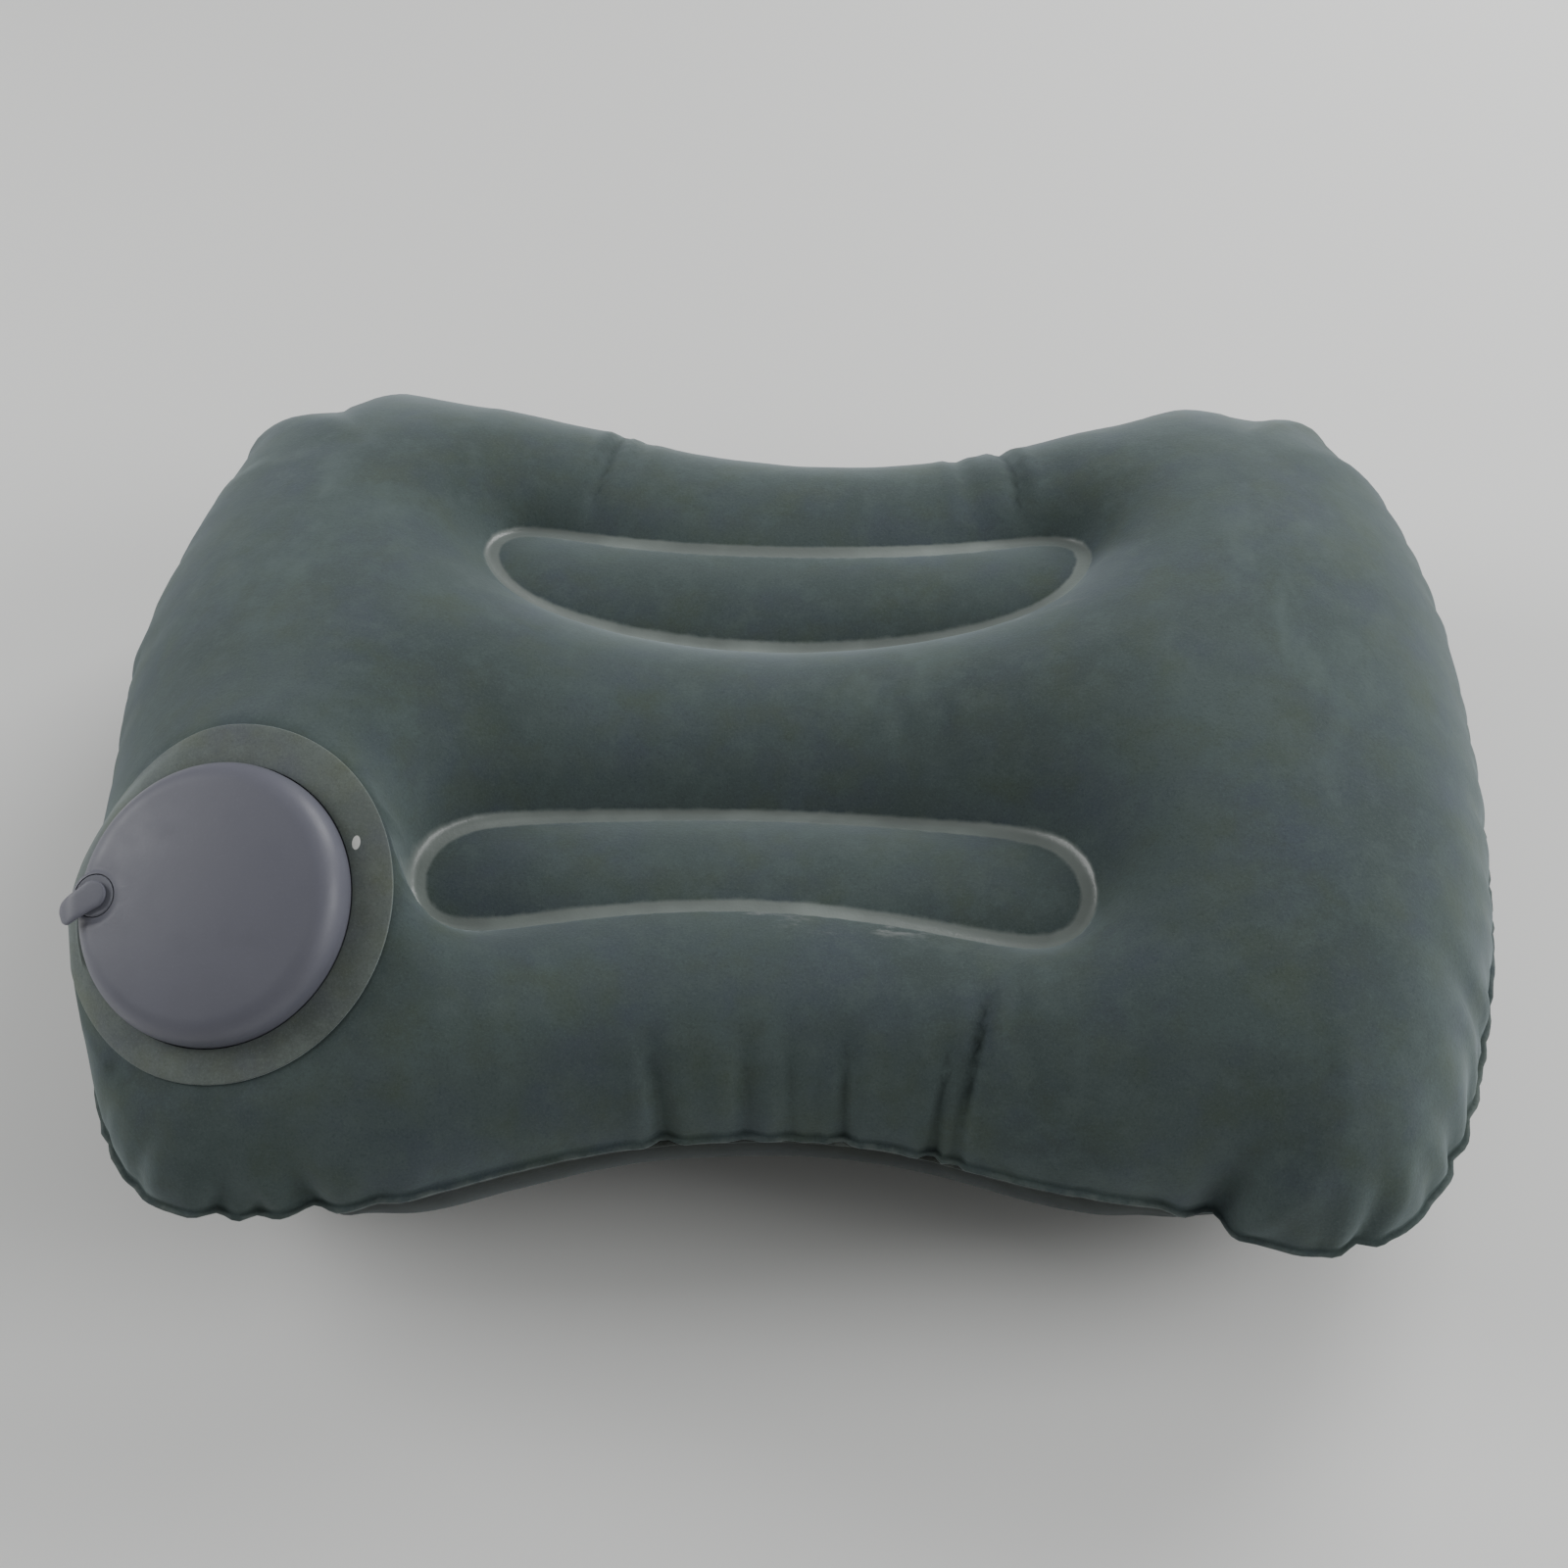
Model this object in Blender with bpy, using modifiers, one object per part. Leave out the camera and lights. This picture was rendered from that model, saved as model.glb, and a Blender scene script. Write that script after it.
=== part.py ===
"""Inflatable camp pillow with a built-in hand pump, as separate solids, in metres, +Z up.

The pillow lies flat: +X is its long side, the pump is in the corner at -X -Y, and the origin is
on the surface it rests on, under the middle of its outline. Every size below is measured from the
pillow's own centre, on the middle plane through its seam. Two film panels are welded together round
the edge and tied together inside by two closed bands of film. The pump is a drum let into the top
panel: a pressed bulb over a ring of foam, with a one-way flap at its inlet and another at its outlet.
"""

import math

import bmesh
import bpy
import numpy as np
from mathutils import Matrix, Vector
from mathutils.geometry import delaunay_2d_cdt, interpolate_bezier

MM = 0.001
GAP = 0.3 * MM

# Plan of the pillow, from its centre to the welded seam
HALF_WIDTH = 225 * MM
WAIST_HALF_DEPTH = 141.5 * MM
LOBE_HALF_DEPTH = 167.5 * MM
LOBE_PEAK_X = 158 * MM
FLANGE_WIDTH = 2 * MM

# Where the blown-up seam stands fuller or slacker than its pattern: place, shift and reach
SWELLS = (
    ((-205 * MM, 118 * MM), (-11 * MM, 12 * MM), 55 * MM),
    ((-230 * MM, 28 * MM), (-7 * MM, 0 * MM), 30 * MM),
    ((-80 * MM, 158 * MM), (0 * MM, 5 * MM), 45 * MM),
    ((140 * MM, 168 * MM), (2 * MM, 6 * MM), 50 * MM),
    ((-195 * MM, -150 * MM), (-1 * MM, -1 * MM), 24 * MM),
    ((-145 * MM, -169 * MM), (0 * MM, 4 * MM), 22 * MM),
    ((-105 * MM, -160 * MM), (0 * MM, -3 * MM), 16 * MM),
    ((-38 * MM, -142 * MM), (0 * MM, 1.5 * MM), 20 * MM),
    ((28 * MM, -142 * MM), (0 * MM, 5.5 * MM), 42 * MM),
    ((129 * MM, -163 * MM), (0 * MM, 12 * MM), 17 * MM),
    ((95 * MM, -157 * MM), (0 * MM, 2 * MM), 15 * MM),
    ((168 * MM, -166 * MM), (0 * MM, 3 * MM), 18 * MM),
)

# The pillow's centre, which puts the middle of its outline over the origin
MIDDLE_Z = 64 * MM
CENTRE = Vector((4.53 * MM, -4.74 * MM, MIDDLE_Z))

# Heights, from the middle plane
FULLNESS = 0.88
FILM = 0.8 * MM
SEAM_GAP = 0.4 * MM

# The two crescent welds, which the tie bands hold down, and how high they are held
CRESCENT_X = -6.7 * MM
CRESCENT_LENGTH = 205 * MM
CRESCENT_WIDTH = 41 * MM
CRESCENT_MIDDLE_Y = 57.6 * MM
CRESCENT_BOW = 15.7 * MM
CRESCENT_END = 10
TIE_HALF_HEIGHT = 32 * MM
TIE_END_RISE = 7 * MM
TIE_LEAN = 0.15
TIE_LEAN_TURN = 2.5

# Pump: the middle of its seat on the top panel, and the way it faces
PUMP_AT = Vector((-163 * MM, -94 * MM, 51 * MM))
PUMP_FACING = Vector((-0.19, -0.52, 1.0)).normalized()
PUMP_HOLE_RADIUS = 45 * MM
COLLAR_RADIUS = 54 * MM
COLLAR_THICKNESS = 1.0 * MM
SEAT_RADIUS = 55 * MM
BULB_RADIUS = 43 * MM
BULB_HEIGHT = 13.5 * MM
BULB_SHOULDER = 5 * MM
BULB_WALL = 1.4 * MM
BULB_SKIRT = 2.2 * MM
CUP_CLEARANCE = 0.5 * MM
CUP_DEPTH = 16 * MM
CUP_WALL = 1.0 * MM
FOAM_RADIUS = 39 * MM
FOAM_BORE = 13 * MM

# Intake in the bulb's crown, near its outboard rim
INTAKE_OFFSET = 35 * MM
INTAKE_BEARING = math.radians(181)
TAB_TURN = math.radians(31)
TAB_REACH = 12.5 * MM
INTAKE_BOSS_RADIUS = 7.5 * MM
INTAKE_BOSS_TOP = BULB_HEIGHT - 1.4 * MM
INTAKE_POCKET_DEPTH = 0.8 * MM
INTAKE_FLANGE_RADIUS = 6.4 * MM
INTAKE_NECK_RADIUS = 4.6 * MM
INTAKE_BORE = 3.2 * MM

# Release valve in the bottom panel, at the back on the pump's side
RELEASE_AT = Vector((-128 * MM, 146 * MM, -37 * MM))
RELEASE_FACING = Vector((-0.12, 0.87, -1.0)).normalized()
RELEASE_HOLE_RADIUS = 7 * MM
RELEASE_SEAT_RADIUS = 17 * MM
HINGE_REACH = 9.6 * MM
HINGE_HEIGHT = 2.1 * MM
KNUCKLE_RADIUS = 1.0 * MM

# Mesh spacing along the panels' welds and between them, how far in from the seam its extra rows are,
# and steps round the turned pieces
SPACING = 14 * MM
FILL_SPACING = 19 * MM
ROWS_IN = (1 * MM, 4 * MM, 10 * MM)
ROUND_STEPS = 52
SMALL_STEPS = 24


# ---------------------------------------------------------------- scene helpers


def clear_scene():
    for obj in list(bpy.data.objects):
        bpy.data.objects.remove(obj)


def new_collection(name, hidden=False):
    collection = bpy.data.collections.new(name)
    bpy.context.scene.collection.children.link(collection)
    collection.hide_render = hidden
    return collection


def principled(name, colour, roughness, metallic=0.0):
    material = bpy.data.materials.new(name)
    material.use_nodes = True
    shader = material.node_tree.nodes["Principled BSDF"]
    shader.inputs["Base Color"].default_value = (*colour, 1.0)
    shader.inputs["Roughness"].default_value = roughness
    shader.inputs["Metallic"].default_value = metallic
    return material


def add_object(name, mesh, collection, material=None, parent=None):
    obj = bpy.data.objects.new(name, mesh)
    collection.objects.link(obj)
    if material:
        obj.data.materials.append(material)
    obj.parent = parent
    return obj


def add_empty(name, frame, collection, parent=None):
    empty = bpy.data.objects.new(name, None)
    collection.objects.link(empty)
    empty.parent = parent
    empty.matrix_local = frame
    return empty


def frame_facing(point, facing, sideways):
    """The placement whose +Z faces the given way and whose +X lies nearest to sideways."""
    across = (sideways - facing * sideways.dot(facing)).normalized()
    up = facing.cross(across)
    rotation = Matrix((across, up, facing)).transposed()
    return Matrix.Translation(point) @ rotation.to_4x4()


def turned(name, profile, collection, material=None, parent=None, steps=ROUND_STEPS):
    """A solid of revolution about its own Z. Its (radius, height) profile runs down the outer side."""
    mesh = bpy.data.meshes.new(name)
    points = [(radius, 0.0, height) for radius, height in profile]
    on_axis = profile[0][0] == 0.0
    links = [(i, i + 1) for i in range(len(points) - 1)]
    if not on_axis:
        links.append((len(points) - 1, 0))
    mesh.from_pydata(points, links, [])
    obj = add_object(name, mesh, collection, material, parent)
    screw = obj.modifiers.new("turn", "SCREW")
    screw.axis = "Z"
    screw.steps = steps
    screw.render_steps = steps
    screw.use_merge_vertices = True
    screw.merge_threshold = 1e-6
    screw.use_smooth_shade = True
    return obj


def block(name, low, high, collection, parent=None, rounded_end=0.0):
    """A box between two corners. rounded_end is the radius of the upright edges at its +X end."""
    mesh = bpy.data.meshes.new(name)
    body = bmesh.new()
    bmesh.ops.create_cube(body, size=1.0)
    low, high = Vector(low), Vector(high)
    for vert in body.verts:
        vert.co = Vector(a + (b - a) * (c + 0.5) for a, b, c in zip(low, high, vert.co))
    if rounded_end:
        far = [e for e in body.edges if all(abs(v.co.x - high.x) < 1e-6 for v in e.verts)]
        upright = [e for e in far if abs(e.verts[0].co.z - e.verts[1].co.z) > 1e-6]
        bmesh.ops.bevel(
            body, geom=upright, offset=rounded_end, segments=5, affect="EDGES", profile=0.5
        )
    body.to_mesh(mesh)
    body.free()
    return add_object(name, mesh, collection, parent=parent)


def drill(name, radius, high, low, collection, parent, steps=SMALL_STEPS):
    """A plain upright cylinder, for cutting or adding."""
    profile = [(0.0, high), (radius, high), (radius, low), (0.0, low)]
    return turned(name, profile, collection, parent=parent, steps=steps)


def boolean(target, cutter, operation="DIFFERENCE"):
    modifier = target.modifiers.new(cutter.name, "BOOLEAN")
    modifier.operation = operation
    modifier.object = cutter
    cutter.display_type = "WIRE"
    cutter.hide_render = True


# ---------------------------------------------------------------- plan outlines


def resample(points, spacing):
    """A closed polyline through the points, with even steps of about the spacing."""
    points = np.array(points)
    ring = np.vstack([points, points[:1]])
    along = np.concatenate([[0.0], np.cumsum(np.linalg.norm(np.diff(ring, axis=0), axis=1))])
    count = max(8, round(along[-1] / spacing))
    at = np.linspace(0.0, along[-1], count, endpoint=False)
    return np.column_stack([np.interp(at, along, ring[:, k]) for k in (0, 1)])


def seam_outline(spacing):
    """The welded edge: a waist, a lobe and a bowed end in each quarter."""
    waist = Vector((0.0, WAIST_HALF_DEPTH))
    peak = Vector((LOBE_PEAK_X, LOBE_HALF_DEPTH))
    end = Vector((HALF_WIDTH, 0.0))
    waist_handle = Vector((0.45 * LOBE_PEAK_X, WAIST_HALF_DEPTH))
    rise_handle = Vector((0.67 * LOBE_PEAK_X, LOBE_HALF_DEPTH))
    corner_handle = Vector((LOBE_PEAK_X + 0.59 * (HALF_WIDTH - LOBE_PEAK_X), LOBE_HALF_DEPTH))
    side_handle = Vector((HALF_WIDTH, 0.68 * LOBE_HALF_DEPTH))
    steps = 40
    quarter = interpolate_bezier(waist, waist_handle, rise_handle, peak, steps)[:-1]
    quarter += interpolate_bezier(peak, corner_handle, side_handle, end, steps)
    quarter = [(p.x, p.y) for p in quarter]
    half = quarter + [(x, -y) for x, y in reversed(quarter[:-1])]
    whole = np.array(half + [(-x, y) for x, y in reversed(half[1:-1])])
    shifts = np.zeros_like(whole)
    for place, shift, reach in SWELLS:
        from_place = ((whole - np.array(place)) ** 2).sum(axis=1)
        shifts += np.exp(-0.5 * from_place / reach**2)[:, None] * np.array(shift)
    return resample((whole + shifts)[::-1], spacing)


def grown(loop, distance):
    """A closed anticlockwise loop moved outwards."""
    ahead = np.roll(loop, -1, axis=0) - np.roll(loop, 1, axis=0)
    outward = np.column_stack([ahead[:, 1], -ahead[:, 0]])
    return loop + distance * outward / np.linalg.norm(outward, axis=1)[:, None]


def crescent_outline(side, spacing):
    """One tie weld, bowed towards the middle and with round ends. side is +1 behind, -1 in front."""
    turn = np.linspace(0.0, 2 * math.pi, 240, endpoint=False)
    share = np.cos(turn)
    half_width = 0.5 * CRESCENT_WIDTH * np.sqrt(np.clip(1 - np.abs(share) ** CRESCENT_END, 0, 1))
    x = CRESCENT_X + 0.5 * CRESCENT_LENGTH * share
    y = CRESCENT_MIDDLE_Y + CRESCENT_BOW * share**2 + np.sign(np.sin(turn)) * half_width
    loop = np.column_stack([x, side * y])
    return resample(loop if side > 0 else loop[::-1], spacing)


def tie_height(x, y):
    """Height of a tie weld: its middle leans towards the pillow's middle, and its ends lean away."""
    along = np.clip((x - CRESCENT_X) / (0.5 * CRESCENT_LENGTH), -1, 1)
    lean = TIE_LEAN * (1 - TIE_LEAN_TURN * along**2)
    off_middle = np.abs(y) - CRESCENT_MIDDLE_Y - CRESCENT_BOW * along**2
    return TIE_HALF_HEIGHT + TIE_END_RISE * along**4 + lean * off_middle


def circle_in_plan(frame, radius, count):
    """A circle about a frame's axis, seen from above."""
    angles = [2 * math.pi * k / count for k in range(count)]
    points = [frame @ Vector((radius * math.cos(a), radius * math.sin(a), 0)) for a in angles]
    loop = np.array([(p.x, p.y) for p in points])
    crossed = np.cross(loop, np.roll(loop, -1, axis=0)).sum()
    return loop if crossed > 0 else loop[::-1]


def inside(loop, points):
    """Which of the points lie inside a closed loop."""
    x, y = points[:, 0], points[:, 1]
    found = np.zeros(len(points), bool)
    for (x0, y0), (x1, y1) in zip(loop, np.roll(loop, -1, axis=0)):
        if y0 == y1:
            continue
        crosses = (y0 > y) != (y1 > y)
        found ^= crosses & (x < (x1 - x0) * (y - y0) / (y1 - y0) + x0)
    return found


# ---------------------------------------------------------------- the two panels


class Seat:
    """A flat round place in a panel, where a fitting goes through it."""

    def __init__(self, frame, hole_radius, seat_radius):
        self.frame = frame
        self.hole = circle_in_plan(frame, hole_radius, max(16, round(7 * hole_radius / SPACING)))
        self.rim = circle_in_plan(frame, seat_radius, max(20, round(7 * seat_radius / SPACING)))
        self.seat_radius = seat_radius

    def plane_z(self, points):
        """Height of the seat's plane at points in plan."""
        normal = self.frame.to_3x3().col[2]
        middle = self.frame.translation
        return middle.z - ((points - np.array(middle.xy)) @ np.array(normal.xy)) / normal.z


def triangulated(loops, fill_inside):
    """Points and triangles of a plan bounded by the first loop, with every loop kept as edges."""
    spread = FILL_SPACING * math.sqrt(0.75)
    rows = np.arange(-LOBE_HALF_DEPTH, LOBE_HALF_DEPTH, spread)
    columns = np.arange(-HALF_WIDTH, HALF_WIDTH, FILL_SPACING)
    stagger = 0.5 * FILL_SPACING
    fill = np.array([(x + stagger * (k % 2), y) for k, y in enumerate(rows) for x in columns])
    fill = fill[inside(fill_inside, fill)]
    on_loops = np.vstack(loops)
    nearest = np.linalg.norm(fill[:, None] - on_loops[None], axis=2).min(axis=1)
    fill = fill[nearest > 0.62 * SPACING]
    edges = []
    start = 0
    for loop in loops:
        count = len(loop)
        edges += [(start + k, start + (k + 1) % count) for k in range(count)]
        start += count
    plan = [Vector(p) for p in np.vstack([on_loops, fill])]
    points, _, faces, *_ = delaunay_2d_cdt(plan, edges, [], 1, 1e-7)
    return np.array([tuple(p) for p in points]), np.array([tuple(f) for f in faces])


def inflated(points, faces, held, held_heights):
    """Heights of a film blown up between held points: the square root of a stretched membrane's sag."""
    count = len(points)
    corners = points[faces]
    weights = np.zeros((count, count))
    areas = np.zeros(count)
    for k in range(3):
        a, b, c = (corners[:, (k + m) % 3] for m in range(3))
        u, v = a - c, b - c
        crossed = np.abs(u[:, 0] * v[:, 1] - u[:, 1] * v[:, 0])
        cotangent = 0.5 * (u * v).sum(axis=1) / np.maximum(crossed, 1e-12)
        i, j = faces[:, k], faces[:, (k + 1) % 3]
        np.add.at(weights, (i, j), cotangent)
        np.add.at(weights, (j, i), cotangent)
        np.add.at(areas, i, crossed / 6)
    pull = np.diag(weights.sum(axis=1)) - weights
    load = 2 * FULLNESS * areas
    load[held] = held_heights[held] ** 2
    pull[held] = np.eye(count)[held]
    return np.sqrt(np.clip(np.linalg.solve(pull, load), 0, None))


def panel(name, side, seat, collection, material, pillow):
    """One skin of the pillow. side is +1 for the top and -1 for the bottom."""
    seam = seam_outline(SPACING)
    crescents = [crescent_outline(k, SPACING) for k in (1, -1)]
    rows = [grown(seam, -depth) for depth in ROWS_IN]
    loops = [grown(seam, FLANGE_WIDTH), seam, *rows, *crescents, seat.rim, seat.hole]
    points, faces = triangulated(loops, rows[-1])
    middles = points[faces].mean(axis=1)
    faces = faces[~inside(seat.hole, middles)]
    kept = np.unique(faces)
    faces = np.searchsorted(kept, faces)
    points = points[kept]

    to_seam = np.linalg.norm(points[:, None] - seam[None], axis=2).min(axis=1)
    on_flange = (to_seam < 1e-6) | ~inside(seam, points)
    on_tie = np.linalg.norm(points[:, None] - np.vstack(crescents)[None], axis=2).min(axis=1) < 1e-6
    from_seat = points - np.array(seat.frame.translation.xy)
    facing = seat.frame.to_3x3().col[2]
    reach = np.sqrt((from_seat**2).sum(axis=1) + (from_seat @ np.array(facing.xy) / facing.z) ** 2)
    on_seat = reach < seat.seat_radius + 1e-6

    heights = np.zeros(len(points))
    heights[on_tie] = tie_height(*points[on_tie].T)
    heights[on_seat] = side * seat.plane_z(points[on_seat])
    heights = inflated(points, faces, on_flange | on_tie | on_seat, heights)
    z = side * (heights + 0.5 * SEAM_GAP + FILM)
    z[on_seat] = seat.plane_z(points[on_seat])
    z = np.maximum(z, -MIDDLE_Z)

    mesh = bpy.data.meshes.new(name)
    order = faces if side > 0 else faces[:, ::-1]
    mesh.from_pydata(np.column_stack([points, z]).tolist(), [], order.tolist())
    obj = add_object(name, mesh, collection, material, pillow)
    mesh.shade_smooth()
    film = obj.modifiers.new("film", "SOLIDIFY")
    film.thickness = FILM
    film.offset = -1
    film.use_even_offset = True
    film.use_quality_normals = True
    return obj


def tie_band(name, side, collection, cutters, material, pillow):
    """The closed web of film between the panels under one crescent weld, with air holes in it."""
    loop = crescent_outline(side, SPACING)
    tops = tie_height(*loop.T) + 0.5 * SEAM_GAP - 2.2 * FILM
    body = bmesh.new()
    rows = []
    for sign in (-1, 1):
        rows.append([body.verts.new((x, y, sign * top)) for (x, y), top in zip(loop, tops)])
    for k in range(len(loop)):
        after = (k + 1) % len(loop)
        body.faces.new((rows[0][k], rows[0][after], rows[1][after], rows[1][k]))
    bmesh.ops.recalc_face_normals(body, faces=body.faces)
    mesh = bpy.data.meshes.new(name)
    body.to_mesh(mesh)
    body.free()
    obj = add_object(name, mesh, collection, material, pillow)
    mesh.shade_smooth()
    film = obj.modifiers.new("film", "SOLIDIFY")
    film.thickness = FILM
    film.offset = 0
    for k, x in enumerate((-60 * MM, 0.0, 60 * MM)):
        across = Matrix.Translation((CRESCENT_X + x, side * CRESCENT_MIDDLE_Y, 0))
        across @= Matrix.Rotation(math.pi / 2, 4, "X")
        hole = drill(f"{name}_air_hole_{k}", 4 * MM, 45 * MM, -45 * MM, cutters, pillow, 12)
        hole.matrix_local = across
        boolean(obj, hole)
    return obj


# ---------------------------------------------------------------- the pump


def pump_collar(pump, collection, material):
    """The flocked ring that covers the bulb's foot."""
    inner = BULB_RADIUS + CUP_CLEARANCE
    low = GAP
    high = GAP + COLLAR_THICKNESS
    profile = [(COLLAR_RADIUS, high), (COLLAR_RADIUS, low), (inner, low), (inner, high)]
    return turned("pump_collar", profile, collection, material, pump)


def arc(centre, radius, start, end, count):
    """Points (radius, height) on an arc, angles in degrees from +radius towards +height."""
    angles = [math.radians(start + (end - start) * k / count) for k in range(count + 1)]
    return [(centre[0] + radius * math.cos(a), centre[1] + radius * math.sin(a)) for a in angles]


# The crown's outline: shares of its radius, and of its rise lost there
CROWN = ((0.0, 0.0), (0.25, 0.12), (0.5, 0.45), (0.72, 0.8), (1.0, 1.0))


def pump_bulb(pump, intake_offset, collection, cutters, material):
    """The moulded cap that is pressed: a low crown, a round shoulder and a straight skirt."""
    crown_rise = 1.6 * MM
    shoulder_z = BULB_HEIGHT - crown_rise - BULB_SHOULDER
    centre = (BULB_RADIUS - BULB_SHOULDER, shoulder_z)
    rim_z = shoulder_z + BULB_SHOULDER
    outer = [(share * centre[0], BULB_HEIGHT - crown_rise * fall) for share, fall in CROWN]
    outer += arc(centre, BULB_SHOULDER, 75, 0, 5)
    outer.append((BULB_RADIUS, -BULB_SKIRT))
    inner_radius = BULB_RADIUS - BULB_WALL
    inner = [(inner_radius, -BULB_SKIRT)]
    inner += arc(centre, BULB_SHOULDER - BULB_WALL, 0, 75, 4)
    inner += [(centre[0], rim_z - BULB_WALL), (0.0, BULB_HEIGHT - BULB_WALL - 0.3 * crown_rise)]
    bulb = turned("pump_bulb", outer + inner, collection, material, pump)
    boss_low = rim_z - 4.5 * MM
    boss = drill("intake_boss", INTAKE_BOSS_RADIUS, INTAKE_BOSS_TOP, boss_low, cutters, pump)
    boss.location = intake_offset
    boolean(bulb, boss, "UNION")
    floor = INTAKE_BOSS_TOP - INTAKE_POCKET_DEPTH
    pocket = drill("intake_pocket", INTAKE_FLANGE_RADIUS + GAP, 30 * MM, floor, cutters, pump)
    pocket.location = intake_offset
    boolean(bulb, pocket)
    hole = drill("intake_hole", INTAKE_NECK_RADIUS + GAP, 30 * MM, 5 * MM, cutters, pump)
    hole.location = intake_offset
    boolean(bulb, hole)
    return bulb


def pump_cup(pump, collection, material):
    """The drum under the bulb, with its flange under the top panel and a hole for the outlet valve."""
    inner = BULB_RADIUS + CUP_CLEARANCE
    outer = inner + CUP_WALL
    flange_top = -FILM - GAP
    flange_low = flange_top - CUP_WALL
    floor_top = -CUP_DEPTH + CUP_WALL
    valve_hole = 8.3 * MM
    profile = [
        (COLLAR_RADIUS - 1 * MM, flange_top),
        (COLLAR_RADIUS - 1 * MM, flange_low),
        (outer, flange_low),
        (outer, -CUP_DEPTH),
        (valve_hole, -CUP_DEPTH),
        (valve_hole, floor_top),
        (inner, floor_top),
        (inner, flange_top),
    ]
    return turned("pump_cup", profile, collection, material, pump)


def pump_foam(pump, intake_offset, collection, cutters, material):
    """The open-cell ring that pushes the bulb back up, notched under the intake valve."""
    low = -CUP_DEPTH + CUP_WALL + GAP
    high = BULB_HEIGHT - BULB_WALL - 1.6 * MM - GAP
    profile = [
        (FOAM_RADIUS - 3 * MM, high),
        (FOAM_RADIUS, high - 5 * MM),
        (FOAM_RADIUS, low),
        (FOAM_BORE, low),
        (FOAM_BORE, high),
    ]
    foam = turned("pump_foam", profile, collection, material, pump, steps=40)
    notch = drill("foam_notch", 9 * MM, 30 * MM, -30 * MM, cutters, pump)
    notch.location = intake_offset
    boolean(foam, notch)
    return foam


def ported(name, profile, port_radius, port_circle, count, frame, collection, cutters, material):
    """A turned valve seat with a ring of ports through its web."""
    seat = turned(name, profile, collection, material, frame, steps=SMALL_STEPS)
    for k in range(count):
        angle = 2 * math.pi * k / count
        port = drill(f"{name}_port_{k}", port_radius, 30 * MM, -30 * MM, cutters, frame, 10)
        port.location = (port_circle * math.cos(angle), port_circle * math.sin(angle), 0)
        boolean(seat, port)
    return seat


def mushroom(name, disc, stem_radius, head_radius, head_low, frame, collection, material):
    """A one-way flap under its seat, on a stem whose head stops it dropping through.

    disc is its radius, its top and its thickness.
    """
    disc_radius, disc_top, disc_thickness = disc
    head_high = head_low + 0.9 * MM
    profile = [
        (0.0, head_high),
        (head_radius - 0.5 * MM, head_high),
        (head_radius, head_low),
        (stem_radius, head_low),
        (stem_radius, disc_top),
        (disc_radius, disc_top),
        (disc_radius, disc_top - disc_thickness),
        (0.0, disc_top - disc_thickness),
    ]
    return turned(name, profile, collection, material, frame, steps=SMALL_STEPS)


def outlet_valve(pump, collection, cutters, material, rubber):
    """The one-way valve in the cup's floor, which lets pumped air into the pillow."""
    floor_top = -CUP_DEPTH + CUP_WALL
    seat_low = -CUP_DEPTH - GAP
    flange_high = floor_top + GAP + 1.0 * MM
    profile = [
        (11 * MM, flange_high),
        (11 * MM, floor_top + GAP),
        (8 * MM, floor_top + GAP),
        (8 * MM, seat_low),
        (1.5 * MM, seat_low),
        (1.5 * MM, flange_high),
    ]
    ported("outlet_valve_seat", profile, 1.7 * MM, 5 * MM, 6, pump, collection, cutters, material)
    travel = 1.4 * MM
    disc = (7.6 * MM, seat_low - GAP, 0.6 * MM)
    head_low = flange_high + travel + GAP
    mushroom("outlet_valve_flap", disc, 1.1 * MM, 2.3 * MM, head_low, pump, collection, rubber)


def intake_valve(intake, collection, cutters, material, rubber):
    """The inlet moulding in the crown, with its one-way flap. Its frame is on the pocket's floor."""
    flange_high = GAP + 0.8 * MM
    web_high = -3.2 * MM
    web_low = -4.2 * MM
    profile = [
        (INTAKE_FLANGE_RADIUS - 0.4 * MM, flange_high),
        (INTAKE_FLANGE_RADIUS, flange_high - 0.4 * MM),
        (INTAKE_FLANGE_RADIUS, GAP),
        (INTAKE_NECK_RADIUS, GAP),
        (INTAKE_NECK_RADIUS, web_low),
        (0.8 * MM, web_low),
        (0.8 * MM, web_high),
        (INTAKE_BORE, web_high),
        (INTAKE_BORE, flange_high),
    ]
    ported("intake_valve_seat", profile, 0.7 * MM, 2.1 * MM, 5, intake, collection, cutters, material)
    travel = 0.8 * MM
    disc = (3.3 * MM, web_low - GAP, 0.5 * MM)
    head_low = web_high + travel + GAP
    mushroom("intake_valve_flap", disc, 0.5 * MM, 1.1 * MM, head_low, intake, collection, rubber)


def intake_plug(intake, collection, cutters, material):
    """The stopper of the intake, with the pull tab that hangs out over the bulb's rim."""
    head_low = GAP + 0.8 * MM + GAP
    head_high = head_low + 1.3 * MM
    nose = -0.9 * MM
    profile = [
        (0.0, head_high),
        (3.8 * MM, head_high),
        (4.4 * MM, head_high - 0.6 * MM),
        (4.4 * MM, head_low),
        (INTAKE_BORE - GAP, head_low),
        (INTAKE_BORE - 2 * GAP, nose),
        (0.0, nose),
    ]
    plug = turned("intake_plug", profile, collection, material, intake, steps=SMALL_STEPS)
    low = (2 * MM, -4.0 * MM, head_low + 0.1 * MM)
    high = (TAB_REACH, 4.0 * MM, head_high - 0.1 * MM)
    tab = block("pull_tab", low, high, cutters, intake, rounded_end=3.6 * MM)
    tab.rotation_euler = (0, 0, TAB_TURN)
    boolean(plug, tab, "UNION")
    return plug


# ---------------------------------------------------------------- the release valve


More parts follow.
